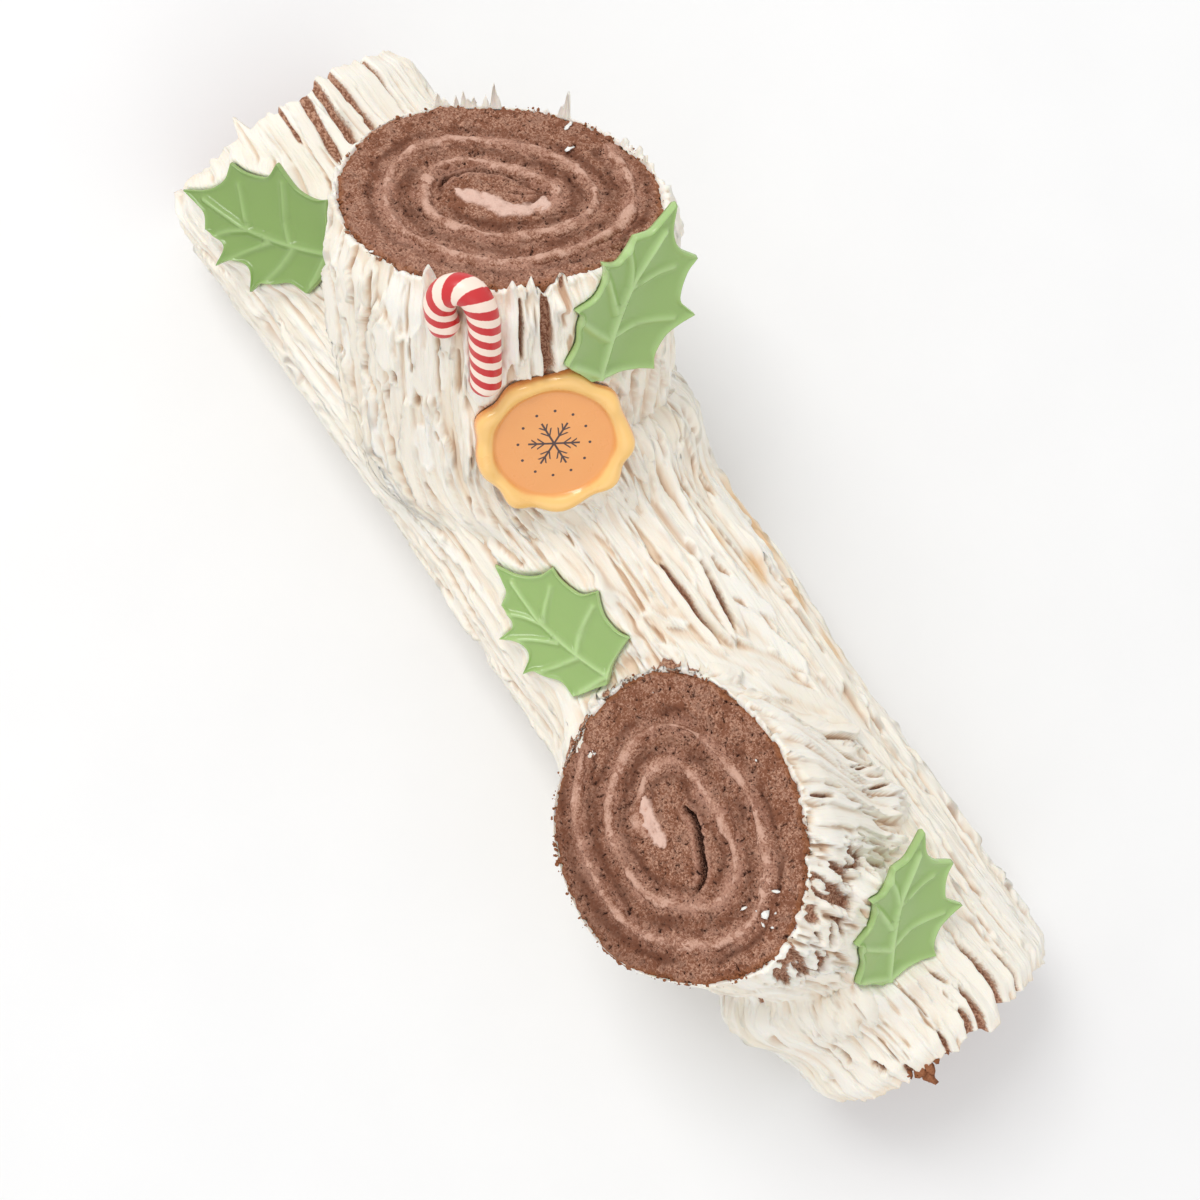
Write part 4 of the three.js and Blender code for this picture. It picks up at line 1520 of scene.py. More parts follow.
@dataclass
class SliceCoat:
    """The buttercream on a slice's wall, which runs down it and fans out over the log."""

    shape: SliceShape
    coating: Coating
    columns: int
    reach: float
    # how far the coat runs out over the log, and how high its rim stands, by angle in degrees
    skirt: Table
    level: Table
    outward_pull: float
    along_pull: float
    # distances from the wall between which the strokes turn along the log
    turning: Pair
    depth: float
    seed: int
    # teeth of the rim: angle in degrees, height, half width
    spikes: Table = ()
    # stretches where the rim lies low and sponge shows: angle, depth, half width in degrees
    dips: Table = ()
    # bare gaps between strokes: angle, start and end down from the rim, half width
    slots: Table = ()
    # bold strokes down from the rim: from and to angle, count, half width, half length
    fins: Table = ()
    # bold shingled strokes: angle at the start, start and end down from the rim, half width, slope, level
    bands: Table = ()
    # torn areas: from and to angle, start and end down from the rim, share that stays covered
    laces: Table = ()
    # share of the full depth of cream on the wall, by angle in degrees
    body: Table = ((0, 1.0), (180, 1.0))
    # sideways lean of the strokes on the wall, by angle in degrees
    twist: Table = ((0, 0.0), (180, 0.0))
    # how much thinner the coat gets on its way out over the log
    thinning: float = 1.7
    # how far from the corner its rounding starts
    ease: float = 13.0
    # millimetres between rows, and across the grid for one radian
    step: float = 0.8
    arc: float = 48.0

    def around(self) -> Array:
        """Angles of the grid's columns round the slice."""
        return circle(self.columns)

    def union(self, points: Array) -> Array:
        """Height over log and slice together: the smaller one, less a parabola where they are alike."""
        wall = self.shape.outside(points) - 1.2
        log = self.coating.above_log(points) + 1.5
        near = np.maximum(self.ease - np.abs(wall - log), 0.0) / self.ease
        return np.minimum(wall, log) - near * near * self.ease / 4.0

    def normal(self, points: Array) -> Array:
        """The way that the union's height grows fastest, from differences of 0.5 mm."""
        offsets = np.eye(3) * 0.5
        change = [self.union(points + o) - self.union(points - o) for o in offsets]
        return unit(np.stack(change, axis=-1))

    def flow(self, angle: Array) -> tuple[Array, Array, Array]:
        """Follow the knife from the rim down the wall and out over the log, one step at a time.

        At each step the way is down the slice's axis with a lean to one side. Where the log is
        near it turns outwards, and further out along the log. It is laid into the surface, and the
        point is then drawn back onto the surface. The way depends on the place alone, so that the
        lines never cross.

        Args:
            angle: angles of the columns round the slice.

        Returns:
            Rows of points, of outward normals, and the height of each point over the log.
        """
        axes = self.shape.axes()
        radius = self.shape.radius(angle) + 1.2
        place = np.asarray(self.shape.face) + self.shape.away(angle) * radius[:, None]
        rows, normals, heights = [], [], []
        for _ in range(int(self.reach / self.step)):
            over = self.coating.above_log(place)
            out = self.normal(place)
            rows.append(place)
            normals.append(out)
            heights.append(over)
            local = self.shape.to_local(place)
            now = np.arctan2(local[:, 1], local[:, 0])
            beyond = smooth(self.shape.outside(place), *self.turning)[:, None]
            level = self.shape.away(now)
            level[:, 2] = 0
            level = unit(level)
            forward = np.zeros_like(level)
            forward[:, 0] = np.clip((level[:, 0] + 0.72) / 0.08, -1, 1)
            lean = round_table(self.twist, np.degrees(now))[:, None] * (1 - beyond)
            tangent = -np.sin(now)[:, None] * axes[0] + np.cos(now)[:, None] * axes[1]
            share = smooth(14.0 - over, 0.0, 14.0)[:, None]
            side = self.outward_pull * (1 - 0.85 * beyond) * level
            side = side + self.along_pull * (1 + beyond) * forward
            way = -axes[2] * (1 - share) + side * share + lean * tangent * (1 - 0.3 * share)
            way = unit(way - out * (way * out).sum(1, keepdims=True))
            place = place + way * self.step
            for _ in range(2):
                place = place - self.normal(place) * self.union(place)[:, None]
        return np.array(rows), np.array(normals), np.array(heights)

    def knife(self, along: Array, across: Array) -> KnifeField:
        """Paint the strokes that run from the rim down.

        Args:
            along: distance of the rows from the rim.
            across: place round the slice of the columns.

        Returns:
            The painted field.
        """
        work = KnifeField(along, across, wrap=True, seed=self.seed)
        work.rake(0.45, self.seed, lambda run, place: self.depth)
        radius = across[-1] / TURN
        for index, (first, last, count, half, length) in enumerate(self.fins):
            box = (2.0, 2.0 + 1.5 * length, math.radians(first) * radius, math.radians(last) * radius)
            widths, seed = (0.6 * half, half), self.seed + 60 + 3 * index
            lengths = (0.5 * length, length)
            bold = StrokeSet(count, lengths, widths, (0.9, 0.5), (0.5, 1.4), seed, 0.8, (0, 0.06), box=box)
            work.scatter(bold)
            work.scatter(
                StrokeSet(
                    count // 2, (5, 0.6 * length), (0.6, 1.1), (-2.0, 0.6), (0.1, 0.4), seed + 1, 0.3,
                    add=True, box=box,
                )
            )
        for index, (degrees, start, end, half, slope, level) in enumerate(self.bands):
            length = (end - start) / 2
            work.stroke(
                Stroke(
                    along=start + length, across=math.radians(degrees) * radius + slope * length,
                    half_length=length, half_width=half, level=level, tilt=-1.1, lip_left=1.6,
                    lip_right=0.2, slope=slope, bend=0.07 * math.sin(3.0 * index), pile=1.0, crown=0.4,
                    streak=0.2, phase=1.3 * index, tone=math.sin(2.0 * index) - 0.4,
                )
            )
            cut = math.radians(degrees) * radius + slope * length - half - 0.5
            work.stroke(
                Stroke(
                    start + 1.1 * length, cut, 0.8 * length, 0.75, -2.0, slope=slope, phase=index, add=True,
                )
            )
        run, place = np.meshgrid(along, across, indexing="ij")
        for index, (first, last, start, end, cover) in enumerate(self.laces):
            inside = smooth(place / radius, math.radians(first), math.radians(first + 7))
            inside = inside * (1 - smooth(place / radius, math.radians(last - 7), math.radians(last)))
            inside = inside * smooth(run, start - 1, start + 2) * (1 - smooth(run, end - 6, end))
            slant = place + 0.35 * run
            torn = noise(run / 5.5, slant / 1.9, self.seed + 80 + index)
            torn = torn + 0.4 * noise(run / 2.2, slant / 1.0, self.seed + 90 + index)
            opened = smooth(torn * inside, cover, cover + 0.18)
            work.open = np.maximum(work.open, opened)
            work.height += 0.9 * inside * bell((torn - cover + 0.12) / 0.16)
        for degrees, start, end, half in self.slots:
            spot = {"along": (start + end) / 2, "across": math.radians(degrees) * radius, "phase": degrees}
            length = (end - start) / 2
            banks = Stroke(
                half_length=length + 1.5, half_width=half + 1.0, level=1.2, lip_left=0.7, lip_right=0.7,
                **spot,
            )
            work.stroke(banks)
            work.stroke(Stroke(half_length=length, half_width=half, level=0, bare=True, **spot))
        return work

    def rim(self, angle: Array, strokes: Array) -> Array:
        """Height of the torn rim over the cut face: ragged like its strokes, and a few tall spikes.

        Args:
            angle: angles of the columns.
            strokes: height of the knife's strokes just under the rim.

        Returns:
            The height of each column's rim.
        """
        place = angle / TURN
        ragged = 1.1 * noise(0, place * 46, self.seed + 20, 46) + 0.6 * (strokes - strokes.mean())
        ragged = ragged + 0.7 * noise(0, place * 120, self.seed + 21, 120)
        ragged = ragged + 0.5 * noise(0, place * 250, self.seed + 23, 250)
        teeth = np.maximum(noise(3.3, place * 75, self.seed + 22, 75), 0) ** 2 * 4.0
        height = round_table(self.level, np.degrees(angle)) + ragged + teeth
        degree = math.radians(1) * (self.shape.half_long + self.shape.half_short) / 2
        for degrees, tall, half in self.spikes:
            off = np.abs((np.degrees(angle) - degrees + 180) % 360 - 180) * degree
            height = np.maximum(height, tall * np.maximum(1 - off / half, 0) ** 0.8 - 0.6)
        for degrees, depth, half in self.dips:
            off = (np.degrees(angle) - degrees + 180) % 360 - 180
            height = height - depth * bell(off / half) * (0.6 + 0.4 * np.sin(angle * 61))
        return height

    def build(self) -> None:
        """Make the coat of the slice."""
        angle = self.around()
        base, outward, over = self.flow(angle)
        count = len(base)
        along = np.arange(count) * self.step
        across = angle * self.arc
        work = self.knife(along, across)
        strokes = work.height[5]
        foot = np.argmax(over < 2.5, axis=0).astype(float) * self.step
        foot = np.where(over.min(axis=0) < 2.5, foot, self.reach)
        length = round_table(self.skirt, np.degrees(angle))
        ragged = 1.0 + 0.5 * noise(0, angle / TURN * 43, self.seed + 30, 43)
        ragged = ragged + 0.25 * noise(0, angle / TURN * 116, self.seed + 31, 116)
        home = (base[..., 0] > self.coating.log.far_x + 4) & (base[..., 0] < self.coating.log.near_x - 4)
        gone = np.where(home.all(axis=0), count, np.argmin(home, axis=0)) * self.step
        end = np.minimum(foot + length * ragged, gone)
        past = along[:, None] - end[None, :]
        sunk = smooth(past, -24.0, 2.0)
        out_on_log = along[:, None] - foot[None, :]
        beyond = smooth(out_on_log, -6.0, 10.0)
        body = round_table(self.body, np.degrees(angle))[None, :]
        body = body + (1 - body) * beyond
        rise = (0.6 + 3.2 * smooth(along, 0.0, 12.0))[:, None] * body - 0.9 * (1 - body)
        rise = rise - self.thinning * smooth(out_on_log, 2.0, 36.0)
        height = work.height * (0.8 + 0.2 * smooth(along, 0.0, 9.0))[:, None] * (0.2 + 0.8 * body)
        work.height = height + rise + 0.6 * beyond - 5.5 * sunk
        work.height = np.where(sunk < 0.3, np.maximum(work.height, -1.9), work.height)
        work.open = opened = work.open * (1 - smooth(past, -12.0, -4.0))
        work.height = work.height * (1 - opened) + (3.2 * beyond - 0.4) * opened
        sideways = unit(np.roll(base, -1, axis=1) - np.roll(base, 1, axis=1))
        sheet = CoatSheet(
            base=base, outward=outward, sideways=sideways, knife=work,
            pitch=(self.step, across[1] - across[0]), stain=np.zeros_like(work.height),
        )
        points, marks = sheet.dress(0.5, self.seed + 40)
        thin = smooth(-(work.height + 1.2), -0.5, 0.5) * (1 - smooth(past, -10.0, -2.0))
        marks["bare"] = np.maximum(thin, blur(opened, (0.7, 0.7), True))
        points = self.coating.press(points)
        points[..., 2] = np.maximum(points[..., 2], 1.2)
        points, marks, past = self._with_rim(points, marks, past, strokes)
        quads = grid_quads(points.shape[0], points.shape[1], closed=True)
        hidden = (past > 3.0).ravel()
        flat = points.reshape(-1, 3)
        span = np.abs(np.diff(flat[quads[:, [0, 1, 2, 3, 0]]], axis=1)).max(axis=(1, 2))
        log = self.coating.log
        astray = (flat[:, 0] < log.far_x + 1) | (flat[:, 0] > log.near_x - 1)
        quads = quads[~(hidden[quads].all(axis=1) | astray[quads].any(axis=1) | (span > 8.0))]
        points, quads, marks = drop_loose(flat, quads, marks)
        name = f"icing_{self.shape.name}"
        make_piece(name, points, [quads], self.coating.finish, (), marks)

    def _with_rim(
        self, points: Array, marks: Marks, past: Array, strokes: Array
    ) -> tuple[Array, Marks, Array]:
        """Draw the first rows up to the torn rim and fold them in to the sponge.

        Args:
            points: rows x columns x 3.
            marks: grids of the same rows and columns.
            past: distance past the end of the skirt.
            strokes: height of the knife's strokes just under the rim.

        Returns:
            The grids with three rows more.
        """
        angle = self.around()
        axes, radial, height = self.shape.axes(), self.shape.away(angle), self.rim(angle, strokes)
        climb = 1.0 - smooth(np.arange(points.shape[0]) * self.step, 0.0, 7.0)
        lean = 0.22 * np.maximum(height, 0)
        points = points + (climb[:, None] * height[None, :])[..., None] * axes[2]
        points = points + (climb[:, None] * lean[None, :])[..., None] * radial[None]
        uneven = np.clip(0.6 * strokes, -0.8, 1.0) * round_table(self.body, np.degrees(angle))
        wall = self.shape.radius(angle) + lean
        face = np.asarray(self.shape.face)

        def row(reach: Array, up: Array) -> Array:
            """Points at a distance from the axis and a height over the cut face."""
            return face + radial * reach[:, None] + up[:, None] * axes[2]

        tip = smooth(height, 0.5, 5.0) + 1.5 * (1 - round_table(self.body, np.degrees(angle)))
        lip = row(wall + 0.8 - 0.5 * tip + uneven, height + 0.25)
        inner = row(wall + 0.35 - 0.2 * tip, height - 0.3)
        seat = row(wall - lean - 0.4, np.minimum(height - 1.0, -0.8))
        points = np.concatenate([seat[None], inner[None], lip[None], points])
        faint = {key: 1.0 if key.startswith("flow") else 0.4 for key in marks}
        marks = {k: np.concatenate([g[:1] * faint[k]] * 3 + [g]) for k, g in marks.items()}
        past = np.concatenate([past[:1]] * 3 + [past])
        return points, marks, past


def drop_loose(points: Array, quads: Array, marks: Marks) -> tuple[Array, Array, Marks]:
    """Leave out the points that no face uses.

    Args:
        points: n x 3 points.
        quads: the faces that stay.
        marks: one number per point, by name.

    Returns:
        The points, the renumbered faces and the marks.
    """
    used = np.zeros(len(points), bool)
    used[quads.ravel()] = True
    number = np.cumsum(used) - 1
    kept = {key: grid.ravel()[used] for key, grid in marks.items()}
    return points[used], number[quads], kept


# ------------------------------------------------------------------ the rolled sponge
@dataclass(frozen=True)
class Spiral:
    """The line of cream in a roll: one sheet deeper for each turn after the first."""

    radius: Callable[[Array], Array]
    start: float
    turns: float
    sheet: float = 12.0
    half: float = 1.45
    blob: float = 2.0
    blob_from: float = 0.86

    def depth(self, turns: Array) -> Array:
        """Depth under the outline: it settles to a sheet, then grows evenly."""
        settle = self.sheet * (1.0 - np.exp(-(turns + 0.04) / 0.1))
        return settle + self.sheet * np.maximum(0.0, turns - 0.35)

    def line(self, count: int) -> Array:
        """The middle of the band of cream, from the outside in."""
        turns = np.linspace(0, self.turns, count)
        angle = self.start - TURN * turns
        radius = self.radius(angle) - self.depth(np.abs(turns))
        return polar(radius, angle)

    def distance(self, angle: Array, radius: Array) -> Array:
        """How far a point lies from the band's middle, measured towards the axis.

        Args:
            angle: angle round the roll.
            radius: distance from its axis.

        Returns:
            The distance, 0 or more.
        """
        sense = 1.0 if self.turns > 0 else -1.0
        first = (sense * (self.start - angle) / TURN) % 1.0
        best = np.full(np.shape(radius), 1e3)
        for extra in range(int(abs(self.turns)) + 1):
            turns = first + extra
            off = np.abs(self.radius(angle) - radius - self.depth(turns))
            best = np.where(turns <= abs(self.turns), np.minimum(best, off), best)
        return best


def disc_grid(count: int) -> tuple[Array, Array, Array]:
    """An even grid over a round disc: squares round the middle of a square become rings.

    Args:
        count: points on a side.

    Returns:
        Share of the radius, angle, and the numbers of the points round the edge.
    """
    a, b = np.meshgrid(np.linspace(-1, 1, count), np.linspace(-1, 1, count), indexing="xy")
    wide = np.abs(a) > np.abs(b)
    radius = np.where(wide, a, b)
    safe_a, safe_b = np.where(a == 0, 1e-9, a), np.where(b == 0, 1e-9, b)
    angle = np.where(wide, math.pi / 4 * b / safe_a, math.pi / 2 - math.pi / 4 * a / safe_b)
    angle = np.where(radius < 0, angle + math.pi, angle) % TURN
    index = np.arange(count * count).reshape(count, count)
    ring = np.concatenate([index[0, :-1], index[:-1, -1], index[-1, :0:-1], index[:0:-1, 0]])
    return np.abs(radius), angle, ring


@dataclass(frozen=True)
class Void:
    """A gap in a roll where the turns don't meet: a curved slit in the cut face."""

    line: Table
    half: float
    depth: float


@dataclass
class CutFace:
    """The cut face of a roll: crumb, pores, the dip beside the cream, the gaps and cream in its core."""

    spiral: Spiral
    count: int
    voids: tuple[Void, ...]
    blobs: tuple[Void, ...]
    seed: int
    # how much paler the face gets towards its low side, painted light; below 0 it gets darker, painted
    # shade
    low_side_light: float = 0.0

    def relief(self, x: Array, y: Array, share: Array, angle: Array) -> tuple[Array, Marks]:
        """Height of the face and what its colour depends on.

        Args:
            x: place across the face.
            y: place up the face.
            share: share of the way out to the edge.
            angle: angle round the middle.

        Returns:
            Height over the plane, and the marks for pores with painted shade in dips and gaps, the crust,
            smears with painted light, the dark band beside the cream with painted shade, and the cream
            blobs.
        """
        seed = self.seed
        crumb = 0.34 * noise(x / 1.5, y / 1.5, seed) + 0.3 * noise(x / 0.8, y / 0.8, seed + 1)
        rolling = 0.6 * noise(x / 9.0, y / 9.0, seed + 2) + 0.45 * noise(x / 3.5, y / 3.5, seed + 3)
        pore_and_shade = np.maximum(noise(x / 0.95, y / 0.95, seed + 4) - 0.5, 0) * 1.9
        pore_and_shade = pore_and_shade + np.maximum(noise(x / 2.1, y / 2.1, seed + 5) - 0.66, 0) * 2.0
        away = self.spiral.distance(angle, share * self.spiral.radius(angle))
        wander = away + 0.9 * noise(x / 3.5, y / 3.5, seed + 6) + 0.5 * noise(x / 1.3, y / 1.3, seed + 7)
        smear_and_light = bell(wander / 2.8) * (0.8 + 0.6 * noise(x / 6.0, y / 6.0, seed + 9))
        ledge = smooth(wander, 0.6, 2.4) * (1 - smooth(wander, 2.8, 6.0))
        # the dark band beside the cream line: the roll's own darker outer layer, and painted shade of the
        # dip
        skin_and_shade = bell((wander - 5.2) / 1.4) * (0.7 + 0.7 * noise(x / 8.0, y / 8.0, seed + 10))
        height = crumb + rolling - 1.1 * pore_and_shade - 1.0 * ledge - 0.3 * skin_and_shade
        # towards the low side: painted light through the smears above 0, painted shade through the dark
        # band below 0
        low = smooth(-y, 12.0, 42.0)
        smear_and_light = smear_and_light + max(self.low_side_light, 0.0) * low
        skin_and_shade = skin_and_shade + max(-self.low_side_light, 0.0) * low
        rim = smooth(share, 0.955, 1.0)
        height = height - 1.3 * smooth(share, 0.965, 1.0) ** 2
        # the pores, and painted shade in the dip beside the cream
        dark = pore_and_shade * (1 - 0.5 * np.clip(smear_and_light, 0, 1)) + 0.12 * ledge
        for gap in self.voids:
            far, run = grid_to_line(x, y, gap.line, 40)
            taper = rounded(run, 0.02)
            ragged = far + 0.35 * noise(x / 1.2, y / 1.2, seed + 8)
            half = np.maximum(gap.half * taper, 0.25)
            cut = 1 - smooth(ragged / half, 0.6, 1.4)
            height = height * (1 - cut) - gap.depth * cut
            height = height + 0.6 * bell((far - gap.half - 1.2) / 0.9) * taper
            # painted shade in the gap
            dark = np.maximum(dark, 0.95 * cut)
            smear_and_light = np.maximum(smear_and_light * (1 - cut), 0.8 * bell((far - gap.half - 1.0) / 0.8) * taper)
        cream = np.zeros_like(x)
        for blob in self.blobs:
            far, run = grid_to_line(x, y, blob.line, 30)
            half = blob.half * rounded(run, 0.05)
            far = far + 0.7 * noise(x / 2.4, y / 2.4, seed + 14) + 0.35 * noise(x / 0.9, y / 0.9, seed + 15)
            share = 1 - smooth(far / half, 0.3, 1.35)
            folds = noise(14.0 * run + 0.4 * far, far / 0.9, seed + 16)
            folds = folds + 0.6 * noise(x / 1.6, y / 1.6, seed + 17)
            top = blob.depth * (0.7 + 0.9 * folds)
            height = height * (1 - 0.8 * share) + top * share
            share = share * (0.86 + 0.3 * folds)
            dark = dark * (1 - 0.9 * share)
            cream = np.maximum(cream, share)
        marks = {"pore_and_shade": dark, "crust": rim, "smear_and_light": 0.9 * smear_and_light, "skin_and_shade": skin_and_shade, "blob": cream}
        return height, {key: np.clip(grid, 0, 1) for key, grid in marks.items()}

    def surface(self) -> tuple[Array, Array, Marks]:
        """The face in its own frame.

        Returns:
            The points, the numbers round the edge, and the marks.
        """
        share, angle, ring = disc_grid(self.count)
        radius = share * self.spiral.radius(angle)
        x, y = radius * np.cos(angle), radius * np.sin(angle)
        height, marks = self.relief(x, y, share, angle)
        edge = 0.7 * noise(np.cos(angle) * 9, np.sin(angle) * 9, self.seed + 11)
        edge = edge + 0.45 * noise(np.cos(angle) * 26, np.sin(angle) * 26, self.seed + 12)
        edge = edge + 0.5 * noise(np.cos(angle) * 52, np.sin(angle) * 52, self.seed + 13)
        inset = 1.0 + smooth(share, 0.9, 1.0) * (edge + 0.1) / 45.0
        points = np.stack([x * inset, y * inset, height], axis=-1).reshape(-1, 3)
        return points, ring, {key: grid.ravel() for key, grid in marks.items()}


def with_wall(faces: list[Marks], extra: int, crust: float) -> Marks:
    """Marks of cut faces, and of the `extra` points of the wall behind them."""
    wall = {"pore_and_shade": 0.1, "crust": crust, "smear_and_light": 0.0, "skin_and_shade": 0.0, "blob": 0.0}
    return {k: np.concatenate([m[k] for m in faces] + [np.full(extra, v)]) for k, v in wall.items()}


@dataclass
class SliceSponge:
    """A slice's sponge: its cut face, its wall down to the log, and the band of cream in it."""

    shape: SliceShape
    sponge: Material
    cream: Material
    voids: tuple[Void, ...]
    blobs: tuple[Void, ...]
    # how much paler the face gets towards its low side, painted light; below 0 darker, painted shade
    low_side_light: float
    count: int = 276

    def spiral(self) -> Spiral:
        """The line of cream in this slice."""
        return Spiral(self.shape.radius, math.radians(self.shape.spiral_start), self.shape.turns)

    def build(self) -> None:
        """Make the sponge and its cream."""
        name, seed, spiral = self.shape.name, self.shape.seed, self.spiral()
        face, ring, marks = CutFace(
            spiral, self.count, self.voids, self.blobs, seed, self.low_side_light
        ).surface()
        edge = face[ring]
        base, out = np.array(self.shape.base_point), unit(np.array(self.shape.base_normal, float))
        down = ((self.shape.to_world(edge) - base) @ out) / (self.shape.axes()[2] @ out)
        shares = np.array([0.012, 0.03, 0.06, 0.1, 0.15, 0.22, 0.32, 0.45, 0.62, 0.8, 1.0])[:, None]
        angle = np.arctan2(edge[:, 1], edge[:, 0])
        rough = 0.35 * noise(np.cos(angle) * 20 + shares * 30, np.sin(angle) * 20, seed + 13)
        wall = polar(
            self.shape.radius(angle) + rough - 0.25, angle, edge[:, 2] - np.maximum(down, 2.0) * shares
        )
        points = np.vstack([face, wall.reshape(-1, 3), wall[-1].mean(0)])
        first, size = len(face), len(ring)
        loop = np.arange(size)
        faces = [
            grid_quads(self.count, self.count), grid_quads(len(wall), size, True, first)[:, ::-1],
            np.stack([ring, first + loop, first + (loop + 1) % size, np.roll(ring, -1)], axis=1),
            fan(len(points) - 1 - size + loop, len(points) - 1)[:, ::-1],
        ]
        filled = with_wall([marks], size * len(wall) + 1, 1.0)
        world = self.shape.to_world(points)
        make_piece(f"sponge_{name}", world, faces, self.sponge, (f"{name}_sponge",), filled)
        band, quads, edges = cream_band(spiral, 620, seed)
        world = self.shape.to_world(band)
        make_piece(f"cream_{name}", world, [quads], self.cream, (f"{name}_filling",), edges)


def cream_band(spiral: Spiral, count: int, seed: int) -> tuple[Array, Array, Marks]:
    """The band of cream that shows on a cut face, a low uneven dome that sinks into the sponge.

    Its section is a row of points across the band, z = crown - fall * off^2 with noise, closed
    below by a flat underside; it is carried along the spiral, and its ends close to a point.

    Args:
        spiral: the spiral.
        count: sections along it.
        seed: which noise.

    Returns:
        The points in the face's frame, the faces, and the mark `edge`.
    """
    line = spiral.line(count)
    run = np.gradient(line, axis=0)
    across = unit(np.stack([-run[:, 1], run[:, 0]], axis=1))
    share = np.linspace(0, 1, count)
    length = lengths_along(line)
    half = spiral.half + (spiral.blob - spiral.half) * smooth(share, spiral.blob_from, 0.97)
    half = half * (1.0 + 0.5 * noise(length / 7.0, 0, seed + 1) + 0.25 * noise(length / 2.0, 0, seed + 2))
    ends = np.sqrt(np.clip(np.minimum(share, 1 - share) * 60, 0.02, 1))
    off = np.concatenate([np.linspace(-1.35, 1.35, 13), [1.2, -1.2]])
    wave = 0.3 * noise(length / 3.0, 0, seed + 3)[:, None]
    spot = noise(length[:, None] / 1.0, off * 2.5, seed + 4)
    dome = 0.3 + wave + 0.3 * spot - 0.6 * off**2
    reach = (half * ends)[:, None] * off
    points = np.empty((count, len(off), 3))
    points[..., :2] = line[:, None, :] + across[:, None, :] * reach[..., None]
    points[..., 2] = np.where(np.arange(len(off)) < 13, dome, -3.2)
    quads = grid_quads(count, len(off), closed=True)
    edge = np.broadcast_to(np.clip(off**2 / 1.8, 0, 1), (count, len(off)))
    return points.reshape(-1, 3), quads[:, ::-1] if spiral.turns > 0 else quads, {"edge": edge.ravel()}


@dataclass
class LogSponge:
    """The long roll: both cut ends, the wall between them, and the cream at the ends."""

    shape: LogShape
    sponge: Material
    cream: Material
    count: int = 150

    def spiral(self) -> Spiral:
        """The line of cream, seen from +X with Y to the right."""
        return Spiral(self.shape.flat_radius, self.shape.spiral_start, self.shape.turns)

    def place(self, local: Array, side: End) -> Array:
        """From an end's own frame (Y, Z - axis, outwards) to the cake's.

        Args:
            local: points of the end.
            side: which end.

        Returns:
            The points in the cake's frame.
        """
        x = self.shape.near_x if side is End.NEAR else self.shape.far_x
        depth = local[..., 2] * side.value
        return np.stack([x + depth, local[..., 0], local[..., 1] + self.shape.axis_z], axis=-1)

    def build(self) -> None:
        """Make the roll and its cream."""
        voids = (Void(((6, 4), (0, 7), (-6, 4), (-8, -1)), 0.8, 3.0),)
        points, faces, tables, rings, first = [], [], [], {}, 0
        for side in End:
            face = CutFace(self.spiral(), self.count, voids, (), 90 + side.value)
            local, ring, marks = face.surface()
            points.append(self.place(local, side))
            quads = grid_quads(self.count, self.count, first=first)
            faces.append(quads if side is End.NEAR else quads[:, ::-1])
            tables.append(marks)
            rings[side] = ring + first
            first += len(local)
        ends = {side: np.vstack(points)[rings[side]] for side in End}
        size = len(rings[End.FAR])
        shares = np.linspace(0, 1, 61)[1:-1]
        wall = np.array([ends[End.FAR] * (1 - s) + ends[End.NEAR] * s for s in shares])
        angle = np.arctan2(wall[..., 2] - self.shape.axis_z, wall[..., 1])
        rough = 0.4 * noise(wall[..., 0] / 4.0, angle * 12, 95)
        wall[..., 1] += rough * np.cos(angle)
        wall[..., 2] = np.maximum(wall[..., 2] + rough * np.sin(angle), 0.0)
        points.append(wall.reshape(-1, 3))
        faces.append(grid_quads(len(shares), size, True, first))
        loop = np.arange(size)
        after = (loop + 1) % size
        last = first + (len(shares) - 1) * size
        far, near = rings[End.FAR], rings[End.NEAR]
        faces.append(np.stack([far, far[after], first + after, first + loop], axis=1))
        faces.append(np.stack([last + loop, last + after, near[after], near], axis=1))
        filled = with_wall(tables, len(shares) * size, 0.8)
        cloud = np.vstack(points)
        cloud[:, 2] = np.maximum(cloud[:, 2], 0.0)
        make_piece("sponge_log", cloud, faces, self.sponge, ("log_sponge",), filled)
        parts, quads, edges, first = [], [], [], 0
        for side in End:
            band, band_quads, edge = cream_band(self.spiral(), 420, 97 + side.value)
            parts.append(self.place(band, side))
            quads.append((band_quads if side is End.NEAR else band_quads[:, ::-1]) + first)
            edges.append(edge["edge"])
            first += len(band)
        both = {"edge": np.concatenate(edges)}
        cloud = np.vstack(parts)
        cloud[:, 2] = np.maximum(cloud[:, 2], 0.3)
        make_piece("cream_log", cloud, quads, self.cream, ("log_filling",), both)


# ------------------------------------------------------------------ the sugar decorations
# A holly leaf's edge in shares of its length: each line runs from one prickle to the next.
LEAF_EDGE = (
    ((-0.5, 0.0), (-0.4, -0.038), (-0.335, -0.072), (-0.3, -0.154)),
    ((-0.3, -0.154), (-0.22, -0.166), (-0.152, -0.2), (-0.156, -0.311)),
    ((-0.156, -0.311), (-0.09, -0.25), (0.0, -0.232), (0.06, -0.26), (0.105, -0.355)),
    ((0.105, -0.355), (0.14, -0.29), (0.21, -0.268), (0.31, -0.217), (0.427, -0.228)),
    ((0.427, -0.228), (0.456, -0.167), (0.48, -0.1), (0.5, -0.05)),
    ((0.5, -0.05), (0.515, -0.015), (0.5, 0.02)), ((0.5, 0.02), (0.45, 0.1), (0.42, 0.2), (0.397, 0.324)),
    ((0.397, 0.324), (0.32, 0.292), (0.21, 0.298), (0.13, 0.34), (0.055, 0.398)),
    ((0.055, 0.398), (0.01, 0.3), (-0.055, 0.268), (-0.16, 0.255), (-0.243, 0.272)),
    ((-0.243, 0.272), (-0.25, 0.22), (-0.26, 0.172), (-0.3, 0.11), (-0.375, 0.05), (-0.5, 0.0)),
)
